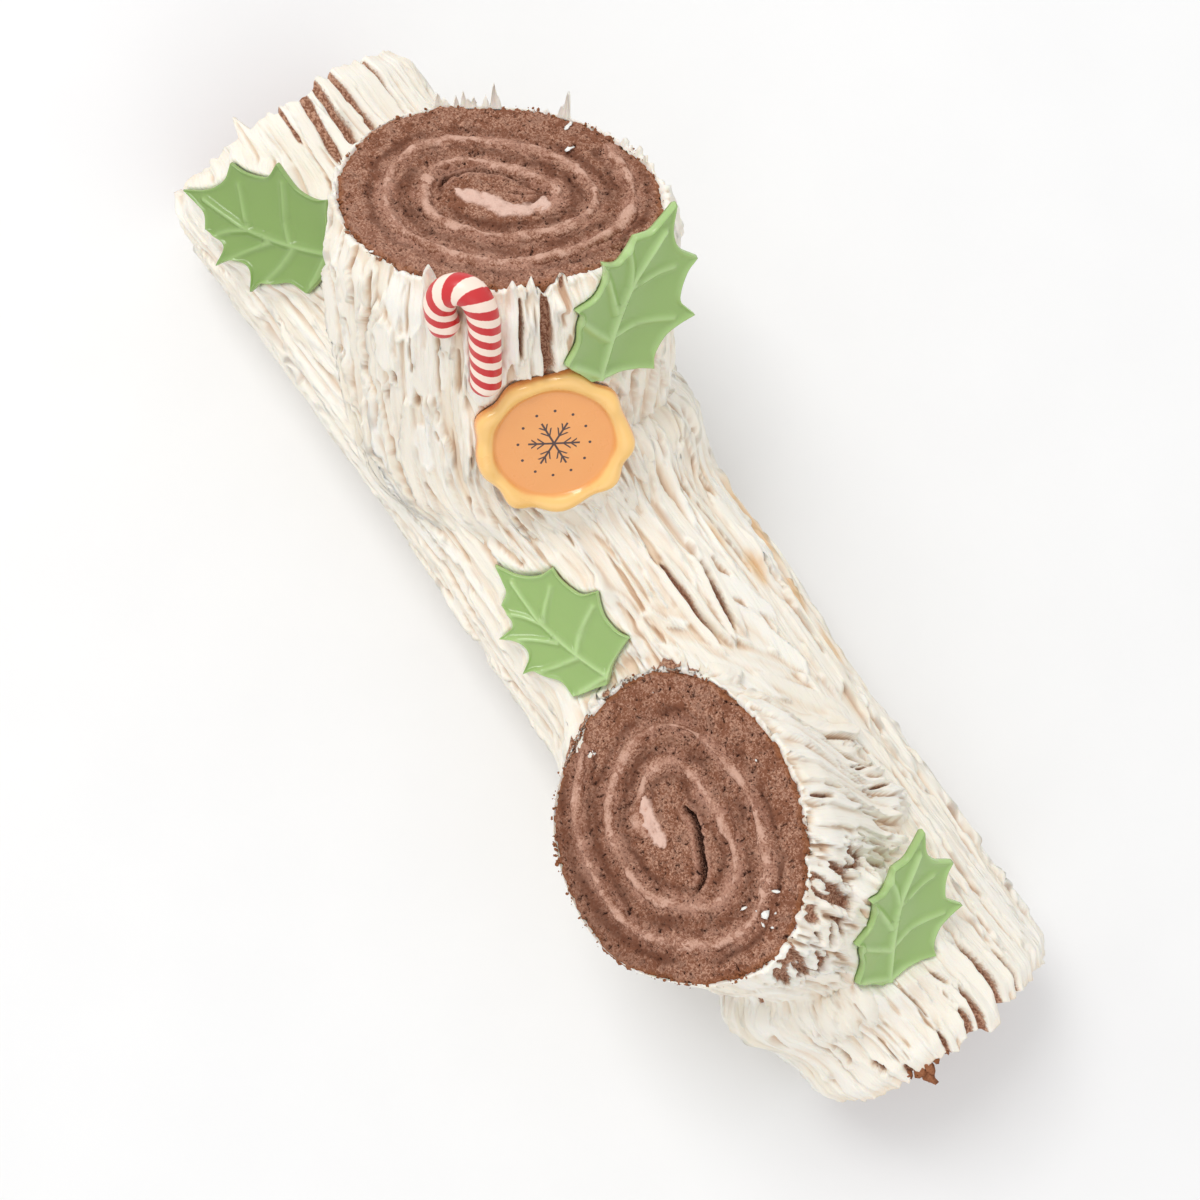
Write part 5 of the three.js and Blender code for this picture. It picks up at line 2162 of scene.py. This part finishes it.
# Its veins on a leaf of 55.2 mm: the midrib first, then the side veins.
LEAF_VEINS = (
    ((-19.2, 0.3), (-9.0, -1.6), (-1.7, -2.5), (12.5, -1.2), (28.0, 2.0)),
    ((-1.7, -2.5), (-6.0, 3.5), (-9.2, 9.1)), ((-1.7, -2.5), (-8.0, -5.5), (-13.2, -9.4)),
    ((6.3, -3.2), (-0.5, -9.0), (-6.6, -15.2)), ((13.4, -1.2), (8.8, 6.0), (5.6, 16.2)),
    ((14.8, -1.2), (12.0, -9.0), (8.3, -16.4)), ((26.0, 1.0), (24.6, 6.0), (23.7, 11.5)),
    ((26.0, 1.0), (24.6, -5.0), (23.6, -9.4)),
)


@dataclass
class HollyLeaf:
    """A moulded sugar holly leaf: cupped, with raised veins and a rounded edge."""

    name: str
    at: Triple
    along: Triple
    face: Triple
    size: float
    shade: float = 0.1
    length: float = 55.2
    half: float = 1.2
    cup: float = 2.6

    def outline(self) -> Array:
        """The edge, concave between its prickles, from the tip round to the tip."""
        sides = [curve_through(np.array(side), 27)[:-1] for side in LEAF_EDGE]
        return np.vstack(sides) * self.length * self.size

    def middle(self) -> Array:
        """The point that the rings close in on."""
        return np.array([0.06, -0.01]) * self.length * self.size

    def lift(self, x: Array, y: Array) -> Array:
        """Height of the cupped sheet: a parabola across, with a low swelling on the midrib."""
        scale = self.length * self.size
        across = np.abs(y - self.middle()[1]) / (0.3 * scale)
        return self.cup * across**2 + 0.7 * bell(across * 4)

    def dent(self) -> Dent:
        """The bed that the leaf presses into the cream."""
        return Dent(
            self.at, self.along, self.face, self.outline()[::3], lambda x, y: self.lift(x, y) - self.half
        )

    def build(self, finish: Material) -> None:
        """Make the leaf: rings of its outline drawn in to the middle, above and below.

        Args:
            finish: the leaf's sugar.
        """
        outline, middle = self.outline(), self.middle()
        shares = np.concatenate([1 - np.linspace(0, 1, 31)[:-1] ** 1.25, [0.02]])
        share = np.concatenate([[0.3, 0.7, 0.97, 1.0, 1.0, 0.994], 0.984 * shares])[:, None]
        top = np.concatenate([[-1.0, -1.0, -1.0, 0.0, 0.55, 0.9], 0 * shares + 1])[:, None]
        flat = middle + (outline - middle)[None] * share[..., None]
        x, y = flat[..., 0], flat[..., 1]
        raised = np.zeros(x.shape)
        for index, vein in enumerate(LEAF_VEINS):
            away, run = grid_to_line(x, y, np.array(vein) * self.size, 14)
            strong = 1.0 if index == 0 else 0.95 * (1 - 0.3 * run)
            raised = np.maximum(raised, strong * bell(away / (1.1 * self.size)))
        border = bell((1 - share) / 0.06) + 0 * x
        swell = 1.55 * raised + 0.9 * border
        puff = 0.25 * noise(x / 8.0, y / 8.0, 7) * (1 - border)
        z = self.lift(x, y) + top * self.half + np.where(top > 0.95, swell + puff, 0)
        origin, axes = frame_of(self.at, self.along, self.face)
        hubs = [np.append(middle, self.lift(*middle) + sign * self.half) for sign in (-1, 1)]
        local, faces = capped(np.stack([x, y, z], axis=-1), np.array(hubs))
        raised = np.append(np.clip(raised + 0.6 * border, 0, 1).ravel(), [0, 0.5])
        marks = {"raised": raised, "shade": np.full(len(raised), self.shade)}
        solid = (f"holly_{self.name}",)
        make_piece(self.name, origin + local @ axes, faces, finish, solid, marks)


@dataclass
class CandyCane:
    """A bar of boiled sugar bent to a hook, with two stripes wound round it like a double screw."""

    radius: float = 5.0
    pitch: float = 5.6
    route: Table = (
        (-75.4, -11, 126.2), (-80, -8.4, 133), (-84.4, -6.3, 139.2), (-88.5, -4.3, 144.9),
        (-92.6, -3.1, 149.8), (-96.8, -3.3, 152.8), (-100.6, -5.3, 152.6), (-102.4, -8.7, 149.8),
        (-101.4, -11.4, 145.6), (-98.5, -12.7, 141.5), (-96.2, -12.9, 139.2),
    )

    def groove(self) -> Groove:
        """The bed that the cane presses into the cream."""
        return Groove(curve_through(np.array(self.route), 40), self.radius + 0.3, (0.45, -0.35, 0.82))

    def build(self) -> None:
        """Make the cane: a circle carried along its route, drawn in to a dome at both ends."""
        line = curve_through(np.array(self.route), 190)
        tangent = unit(np.gradient(line, axis=0))
        side = np.empty_like(tangent)
        side[0] = unit(np.cross(tangent[0], [0, 0, 1.0]))
        for k in range(1, len(line)):
            moved = side[k - 1] - tangent[k] * (side[k - 1] @ tangent[k])
            side[k] = moved / np.linalg.norm(moved)
        length = lengths_along(line)
        dome = np.linspace(math.pi / 2, 0, 9)[:-1]
        sink = self.radius * 0.8 * np.sin(dome)
        past = np.concatenate([-sink, 0 * length, sink[::-1]])
        shrink = np.concatenate([np.cos(dome), 1 + 0 * length, np.cos(dome[::-1])])
        pad = (len(dome), len(dome))
        line, tangent, side = (np.pad(part, (pad, (0, 0)), mode="edge") for part in (line, tangent, side))
        line = line + tangent * past[:, None]
        run = (np.pad(length, pad, mode="edge") + past)[:, None]
        turn = circle(40)
        uneven = 1 + 0.02 * noise(run / 6.0, turn * 2, 5)
        reach = (self.radius * shrink)[:, None] * uneven
        points = tube(line, side, np.cross(tangent, side), reach, turn)
        flat, faces = capped(points[1:-1], line[[0, -1]])
        stripe = np.cos(TURN * run[1:-1] / self.pitch + 2 * turn)
        marks = {"stripe": np.append(stripe.ravel(), [stripe[0].mean(), stripe[-1].mean()])}
        make_piece("cane", flat, faces, CandyFinish().build(), ("candy_cane",), marks)


@dataclass
class SealPlaque:
    """A round plaque like a wax seal: a soft lobed rim round a sunken middle."""

    at: Triple = (-47.1, -2.3, 109.6)
    face: Triple = (0.49, -0.32, 0.82)
    along: Triple = (0.547, 0.837, 0.0)
    half_long: float = 25.4
    half_short: float = 24.6
    height: float = 5.0
    columns: int = 260
    # share of the radius and height over the underside, from the underside's edge inwards
    profile: Table = (
        (0.5, 0.0), (0.93, 0.0), (0.985, 0.7), (1.0, 1.9), (0.992, 3.3), (0.965, 4.4), (0.925, 5.0),
        (0.88, 5.1), (0.84, 4.9), (0.8, 4.3), (0.775, 3.5), (0.755, 2.95), (0.735, 2.75), (0.6, 2.75),
        (0.4, 2.8), (0.2, 2.8), (0.03, 2.8),
    )

    def edge(self, angle: Array) -> Array:
        """Uneven lobes of the rim, as a factor on its radius."""
        lobes = ((0.034, 9, 0.0), (0.018, 4, 1.1), (0.012, 13, 2.0))
        return 1.0 + sum(size * np.cos(count * angle + phase) for size, count, phase in lobes)

    def dent(self) -> Dent:
        """The bed that the plaque presses into the cream."""
        angle = circle(72)
        reach = self.edge(angle) * 0.5 * (self.half_long + self.half_short)
        outline = polar(reach, angle)
        return Dent(self.at, self.along, self.face, outline, lambda x, y: 0 * x - self.height, 1.2)

    def build(self) -> None:
        """Make the plaque: its profile carried round, with the lobes fading towards the middle."""
        profile = curve_through(np.array(self.profile) * [25.0, 1.0], 74) / [25.0, 1.0]
        angle = circle(self.columns)
        share, height = profile[:, 0][:, None], profile[:, 1][:, None]
        lobes = 1 + (self.edge(angle)[None, :] - 1) * smooth(share, 0.72, 0.97)
        x = self.half_long * share * lobes * np.cos(angle)
        y = self.half_short * share * lobes * np.sin(angle)
        top = smooth(height, 2.6, 4.6)
        rolls = 0.35 * np.cos(9 * angle + 0.4) + 0.3 * noise(np.cos(angle) * 4, np.sin(angle) * 4, 3)
        z = height - self.height + rolls[None, :] * top
        z = z + 0.06 * noise(x / 5.0, y / 5.0, 4)
        origin, axes = frame_of(self.at, self.along, self.face)
        hubs = [[0, 0, -self.height], [0, 0, 2.8 - self.height]]
        local, faces = capped(np.stack([x, y, z], axis=-1), hubs)
        # the top of the raised rim, where the painted highlight goes
        marks = {"rim": np.append((top + 0 * x).ravel(), [0, 0])}
        paste = SealFinish()
        finish, uv = paste.build(), local[:, :2] / paste.span + 0.5
        make_piece("seal", origin + local @ axes, faces, finish, ("seal_plaque",), marks, uv)


@dataclass
class CreamTuck:
    """A roll of cream pressed into the corner where a slice's wall hangs over the log."""

    shape: SliceShape
    coating: Coating
    first: float = 182.0
    last: float = 220.0
    radius: float = 4.4

    def corner(self) -> Array:
        """The line of the corner: down the wall at each angle until it meets the coated log."""
        angle = np.radians(np.linspace(self.first, self.last, 20))[:, None]
        depth = np.arange(0, 110, 0.5)[None, :]
        wall = self.shape.radius(angle) + 1.0
        world = self.shape.to_world(polar(wall + 0 * depth, angle, 0 * angle - depth))
        reached = np.argmax(self.coating.above_log(world) < 1.0, axis=1)
        return curve_through(world[np.arange(len(angle)), reached], 110)

    def build(self) -> None:
        """Make the roll: a circle carried along the corner, thin at both ends and ridged by the knife."""
        line = self.corner()
        tangent = unit(np.gradient(line, axis=0))
        side = unit(np.cross(tangent, [0.0, 0.0, 1.0]))
        run = np.linspace(0, 1, len(line))[:, None]
        turn = circle(48)
        ridges = noise(run * 9, turn / TURN * 26, 331, 26)
        swell = noise(run * 5, turn / TURN * 5, 332, 5)
        reach = self.radius * rounded(run, 0.03) * (1 + 0.12 * ridges + 0.2 * swell)
        points = tube(line, side, np.cross(tangent, side), reach, turn)
        flat, faces = capped(points, line[[0, -1]])
        grids = {
            # painted shade between the ridges of the roll
            "hollow_shade": np.clip(0.35 - 0.5 * ridges, 0, 1), "tone": 0.5 + 0.2 * swell,
            "flow_x": 60.0 * run + 0 * turn, "flow_y": self.radius * np.cos(turn) + 0 * run,
            "flow_z": self.radius * np.sin(turn) + 0 * run,
        }
        marks = {k: np.append(grid.ravel(), [grid[0].mean(), grid[-1].mean()]) for k, grid in grids.items()}
        marks |= {key: np.zeros(len(flat)) for key in ("crevice_shade", "bare", "stain")}
        name = f"icing_tuck_{self.shape.name}"
        make_piece(name, flat, faces, self.coating.finish, (), marks)


# ------------------------------------------------------------------ loose bits
def pebbles(
    centres: Array, axes: Array, sizes: Array, seed: int, rough: float = 0.22
) -> tuple[Array, list[Array]]:
    """Small lumps: a ball of 6 rings of 9 points for each, drawn out by its sizes and made uneven.

    Args:
        centres: n x 3 places.
        axes: n x 3 x 3 rows of unit vectors.
        sizes: n x 3 half sizes along them.
        seed: which unevenness.
        rough: share of the radius that varies.

    Returns:
        The points and the faces, four-sided ones and the fans at the poles.
    """
    rise = np.linspace(-math.pi / 2, math.pi / 2, 8)[1:-1, None]
    turn = circle(9)
    ball, faces = capped(polar(np.cos(rise), turn, np.sin(rise) + 0 * turn), [[0, 0, -1.0], [0, 0, 1.0]])
    draw = np.random.default_rng(seed)
    uneven = 1 + rough * draw.normal(size=(len(centres), len(ball), 1)).clip(-1.6, 1.6)
    local = ball[None] * uneven * sizes[:, None, :]
    points = centres[:, None, :] + np.einsum("npk,nkj->npj", local, axes)
    first = (np.arange(len(centres)) * len(ball))[:, None, None]
    return points.reshape(-1, 3), [(first + block).reshape(-1, block.shape[1]) for block in faces]


@dataclass
class LooseBits:
    """Crumbs of sponge along the torn rims, and flecks of cream that fell on the cut faces."""

    coating: Coating
    sponge: Material
    # rims with crumbs: slice, from and to angle in degrees, count
    rims: tuple[tuple[SliceShape, float, float, int], ...] = (
        (STUMP, 195, 300, 260), (STUMP, 60, 195, 110), (STUMP, 300, 420, 80), (BRANCH, -10, 70, 200),
        (BRANCH, 70, 200, 160), (BRANCH, 200, 350, 110),
    )
    # flecks: slice, place on its face, half length, half width, turn in degrees
    flecks: tuple[tuple[SliceShape, float, float, float, float, float], ...] = (
        (STUMP, 15.0, 37.6, 2.1, 0.7, 70), (STUMP, 17.8, 25.8, 1.5, 0.8, 60),
        (STUMP, -30.0, -37.0, 0.7, 0.4, 20), (BRANCH, 35.1, 8.7, 1.0, 0.45, 80),
        (BRANCH, 40.7, 14.4, 1.5, 1.3, 30), (BRANCH, 36.1, 21.0, 1.6, 0.4, 50),
        (BRANCH, 43.0, 12.2, 0.8, 0.4, 10), (BRANCH, 45.4, 14.6, 0.5, 0.35, 70),
        (BRANCH, 42.0, 17.6, 0.4, 0.3, 120), (BRANCH, 38.0, 12.2, 0.3, 0.25, 0),
        (BRANCH, -4.0, 35.0, 0.45, 0.25, 10), (BRANCH, -44.0, 14.0, 0.5, 0.25, 150),
    )
    # lumps at the near end: place along, angle in degrees, height over the coat, half sizes
    lumps: Table = (
        (197.5, 117.5, -3.2, 4.6, 1.9, 2.0), (195.6, 114.5, -2.0, 3.0, 1.7, 1.5),
        (195.0, 118.5, -1.6, 2.2, 2.4, 1.2), (193.8, 124.0, -1.4, 1.6, 1.4, 0.8),
        (194.2, 133.0, -3.0, 1.6, 1.3, 1.0), (194.8, 110.0, -2.5, 1.5, 1.2, 0.8),
        (194.5, 104.0, -2.6, 1.4, 0.9, 0.8),
    )

    def build(self) -> None:
        """Make the crumbs and the flecks."""
        draw = np.random.default_rng(301)
        centres, axes, sizes = [], [], []
        for shape, first, last, count in self.rims:
            angle = np.radians(draw.uniform(first, last, count))
            angle = angle + 0.05 * np.sin(13 * angle + 2) + 0.025 * np.sin(41 * angle)
            out = shape.radius(angle) + draw.normal(0.2, 0.6, count).clip(-1.4, 1.6)
            size = 0.13 + 0.45 * draw.uniform(0, 1, count) ** 2.5
            centres.append(shape.to_world(polar(out, angle, draw.uniform(-1.2, 0.15, count))))
            axes.append(np.repeat(shape.axes()[None], count, 0))
            sizes.append(size[:, None] * draw.uniform(0.7, 1.3, (count, 3)))
        table = np.array(self.lumps)
        turn = np.radians(table[:, 1])
        log = self.coating.log
        reach = log.radius(turn) + self.coating.cover(0 * turn + 190.0, turn) + table[:, 2]
        centres.append(log.place(table[:, 0], turn, reach))
        axes.append(np.repeat(np.eye(3)[None], len(table), 0))
        sizes.append(table[:, 3:])
        points, faces = pebbles(np.vstack(centres), np.vstack(axes), np.vstack(sizes), 302)
        crust = {"crust": np.ones(len(points)), "pore_and_shade": np.zeros(len(points))}
        make_piece("crumbs", points, faces, self.sponge, (), crust)
        centres, axes, sizes = [], [], []
        for shape, x, y, long, short, degrees in self.flecks:
            frame = shape.axes()
            angle = math.radians(degrees)
            first = frame[0] * math.cos(angle) + frame[1] * math.sin(angle)
            axes.append([first, np.cross(frame[2], first), frame[2]])
            centres.append(shape.to_world(np.array([x, y, 0.4])))
            sizes.append([long, short, 0.22])
        points, faces = pebbles(np.array(centres), np.array(axes), np.array(sizes), 303, 0.36)
        marks = {key: np.zeros(len(points)) for key in ("hollow_shade", "crevice_shade", "bare", "stain")}
        make_piece("flecks", points, faces, self.coating.finish, (), marks)


# ------------------------------------------------------------------ floor, light and camera
@dataclass
class Studio:
    """A plain pale floor, soft light from above and the camera."""

    camera_at: Triple = (-0.0320, -0.1281, 0.7997)
    right: Triple = (0.59013, 0.7928, 0.15233)
    down: Triple = (0.80596, -0.58947, -0.0544)
    forward: Triple = (0.04667, 0.15488, -0.98683)
    lens: float = 66.0

    def build(self) -> None:
        """Set up the floor, the lights and the camera."""
        self._camera()
        self._floor()
        self._light("key", (-1.35, -0.15, 2.0), 0.9, 20.0)
        self._light("fill", (1.3, -0.95, 1.3), 1.4, 4.0)
        world = bpy.data.worlds.new("studio")
        bpy.context.scene.world = world
        world.use_nodes = True
        background = world.node_tree.nodes["Background"]
        background.inputs["Color"].default_value = (1.0, 1.0, 1.0, 1.0)
        background.inputs["Strength"].default_value = 0.8
        bpy.context.scene.view_settings.view_transform = "Standard"

    def _camera(self) -> None:
        """The camera looks nearly straight down, with the log running to the lower right."""
        data = bpy.data.cameras.new("camera")
        data.lens = self.lens
        data.sensor_width = 36.0
        camera = add_object("camera", data)
        turn = Matrix((Vector(self.right), -Vector(self.down), -Vector(self.forward))).transposed()
        camera.matrix_world = Matrix.Translation(self.camera_at) @ turn.to_4x4()
        bpy.context.scene.camera = camera

    @staticmethod
    def _floor() -> None:
        """A large pale sheet under the cake."""
        half = 3.0
        mesh = bpy.data.meshes.new("floor")
        corners = [(-half, -half, 0), (half, -half, 0), (half, half, 0), (-half, half, 0)]
        mesh.from_pydata(corners, [], [(0, 1, 2, 3)])
        tree = Tree("floor")
        cloud = tree.noise(60.0, 2.0)
        colour = tree.mix(cloud, (0.86, 0.86, 0.86), (0.9, 0.9, 0.9))
        mesh.materials.append(tree.finish(colour, 0.8))
        floor = add_object("floor", mesh)

    @staticmethod
    def _light(name: str, place: Triple, size: float, power: float) -> None:
        """A square soft light that looks at the cake.

        Args:
            name: its name.
            place: where it hangs, in metres.
            size: its side in metres.
            power: its power in watts.
        """
        data = bpy.data.lights.new(name, "AREA")
        data.size = size
        data.energy = power
        light = add_object(name, data)
        light.location = place
        aim = Vector((0.0, 0.0, 0.06)) - Vector(place)
        light.rotation_mode = "QUATERNION"
        light.rotation_quaternion = aim.to_track_quat("-Z", "Y")


def stump_coat(coating: Coating) -> SliceCoat:
    """The coat of the tall slice, whose strokes run down the wall and on along the log.

    Args:
        coating: the cream that it belongs to.

    Returns:
        The coat, ready to build.
    """
    return SliceCoat(
        STUMP, coating, columns=600, reach=118.0,
        skirt=(
            (0, 24), (50, 26), (90, 26), (125, 18), (150, 5), (185, 7), (210, 24), (235, 40), (265, 50),
            (295, 52), (320, 44), (345, 28),
        ),
        level=(
            (0, -1.2), (30, -0.8), (60, -3.0), (150, -3.0), (172, -2.6), (205, -2.2), (300, -1.2),
            (340, -1.1),
        ),
        outward_pull=0.35, along_pull=0.9, turning=(0.0, 20.0), depth=1.0, seed=110,
        spikes=(
            (127, 6.0, 1.5), (124.5, 3.5, 1.8), (120, 4.0, 1.0), (117, 5.5, 1.1), (115.3, 3.0, 1.6),
            (113, 4.0, 0.9), (108, 4.0, 1.3), (104.5, 9.0, 1.3), (102.8, 4.5, 1.2), (73, 10.0, 1.4),
            (75.2, 4.5, 1.2), (44, 3.0, 1.0), (36, 3.5, 1.2), (31, 3.0, 1.4), (183, 3.0, 1.4),
            (191, 3.0, 1.2), (201, 5.0, 1.6), (205, 4.0, 2.2), (209, 3.0, 1.2), (258, 7.0, 2.2),
            (272, 3.5, 1.6), (290, 4.5, 1.6), (297, 6.0, 1.5), (309, 4.0, 1.8),
        ),
        dips=((301, 3.5, 3.5), (243, 1.5, 6.0)),
        slots=(
            (293, 3, 27, 0.9), (302, 0, 44, 1.9), (243, 40, 46, 1.0), (222.5, 76, 80, 1.0),
            (215, 14, 20, 1.6),
        ),
        fins=((284, 316, 12, 3.0, 22), (205, 284, 20, 4.6, 22)),
        body=((20, 1.0), (60, 0.4), (160, 0.3), (185, 0.6), (205, 1.0)), thinning=2.5,
    )


def branch_coat(coating: Coating) -> SliceCoat:
    """The coat of the lower slice, whose strokes swirl out to one side of it.

    Args:
        coating: the cream that it belongs to.

    Returns:
        The coat, ready to build.
    """
    return SliceCoat(
        BRANCH, coating, columns=580, reach=112.0,
        skirt=(
            (0, 24), (30, 32), (70, 34), (100, 28), (125, 15), (160, 9), (200, 10), (250, 8), (300, 10),
            (335, 16),
        ),
        level=(
            (0, -3.0), (16, -1.6), (40, -3.6), (56, -1.6), (75, -1.0), (125, -0.7), (150, -0.5),
            (190, -1.2), (206, -9), (330, -9), (348, -5),
        ),
        body=((0, 0.6), (20, 0.9), (190, 0.9), (206, 0.0), (330, 0.0)),
        twist=((0, 0.0), (75, 0.0), (100, -0.12), (120, -0.25), (135, -0.15), (150, 0.0), (320, 0.0)),
        outward_pull=1.0, along_pull=0.22, turning=(30.0, 60.0), thinning=1.2, depth=1.0, seed=170,
        spikes=(
            (121, 4.5, 2.0), (117, 3.0, 1.6), (109, 4.0, 2.4), (47, 4.0, 2.0), (27, 5.0, 2.0),
            (350, 5.0, 2.0),
        ),
        dips=((74, 2.0, 6.0), (52, 3.5, 5.0), (131, 1.5, 3.0)),
        slots=(
            (95, 46, 60, 0.7), (84, 49, 62, 0.8), (74, 3, 17, 0.9), (79, 12, 26, 0.5),
            (69, 38, 52, 0.5), (57, 38, 56, 0.6), (49, 34, 52, 0.8),
        ),
        fins=((56, 134, 10, 4.0, 34), (352, 416, 10, 3.8, 28)),
        bands=(
            (140, 6, 50, 4.2, -0.1, 0.6), (128, 10, 62, 5.0, -0.3, 0.7), (118, 0, 50, 5.2, -0.34, 1.5),
            (107, 2, 60, 5.4, -0.34, 1.9), (112, 24, 64, 2.4, -0.34, 1.6), (96, 0, 44, 4.6, -0.28, 1.6),
            (99, 22, 62, 2.6, -0.28, 1.5), (87, 1, 60, 4.8, -0.24, 2.0), (90, 30, 66, 2.2, -0.24, 1.4),
            (77, 0, 38, 4.4, -0.14, 1.5), (79, 20, 64, 3.0, -0.16, 1.7), (67, 2, 58, 4.6, -0.1, 1.8),
            (58, 0, 42, 3.6, -0.05, 1.2), (60, 26, 60, 2.2, -0.1, 1.5), (49, 8, 60, 3.8, -0.05, 1.5),
            (42, 24, 52, 2.4, -0.05, 1.5), (36, 6, 40, 2.8, -0.12, 1.4), (27, 8, 46, 3.2, -0.15, 1.4),
            (17, 4, 34, 2.8, -0.1, 1.2),
        ),
        laces=((-8, 50, 0.5, 30, 0.13), (42, 64, 16, 40, 0.3)),
    )


def main() -> None:
    """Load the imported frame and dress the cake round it, part by part."""
    logging.basicConfig(level=logging.INFO, format="%(message)s")
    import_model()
    Studio().build()
    leaves = [
        HollyLeaf(
            "leaf_1", (-164.6, -31.5, 71.5), (0.853, 0.384, 0.354), (-0.062, -0.598, 0.799), 1.076,
            shade=0.75,
        ),
        HollyLeaf("leaf_2", (-71.8, 40.9, 137.0), (0.425, -0.706, -0.566), (0.797, -0.006, 0.604), 1.15),
        HollyLeaf("leaf_3", (-1.1, -31.0, 71.0), (0.99, 0.127, 0.06), (0.011, -0.5, 0.866), 0.98),
        HollyLeaf("leaf_4", (139.5, 2.1, 100.0), (0.636, -0.56, -0.531), (0.686, 0.095, 0.722), 1.11),
    ]
    cane, seal = CandyCane(), SealPlaque()
    dents: list[Dent | Groove] = [leaf.dent() for leaf in leaves] + [seal.dent(), cane.groove()]
    log = LogShape()
    coating = Coating(log, (STUMP, BRANCH), ButtercreamFinish().build(), dents)
    sponge, filling = SpongeFinish().build(), FillingFinish().build()
    LogSponge(log, sponge, filling).build()
    stump_gaps = (
        Void(((-18.5, 0.0), (-14.7, 5.5), (-7.4, 8.7), (0.7, 9.1), (6.0, 7.6)), 0.9, 3.2),
        Void(((4.0, 0.5), (8.0, 1.5), (12.5, 1.6)), 0.55, 1.8),
    )
    branch_gaps = (Void(((-5.0, 5.8), (1.5, 6.9), (10.6, 4.4), (18.2, 1.4), (21.5, -3.4)), 1.15, 4.5),)
    stump_cream = (Void(((-12.5, -2.2), (-3.9, -5.0), (6.4, -7.5), (14.9, -3.8), (15.4, 1.2)), 3.7, 0.6),)
    branch_cream = (Void(((-15.2, -5.6), (-6.1, -7.4), (2.5, -6.4)), 3.2, 0.5),)
    # the stump's face is painted paler low down, painted light; the branch's darker, painted shade
    SliceSponge(STUMP, sponge, filling, stump_gaps, stump_cream, low_side_light=0.4).build()
    SliceSponge(BRANCH, sponge, filling, branch_gaps, branch_cream, low_side_light=-0.5).build()
    LogCoat(coating).build()
    stump_coat(coating).build()
    branch_coat(coating).build()
    CreamTuck(STUMP, coating).build()
    LooseBits(coating, sponge).build()
    leaf_sugar = LeafFinish().build()
    for leaf in leaves:
        leaf.build(leaf_sugar)
    cane.build()
    seal.build()


if __name__ == "__main__":
    main()
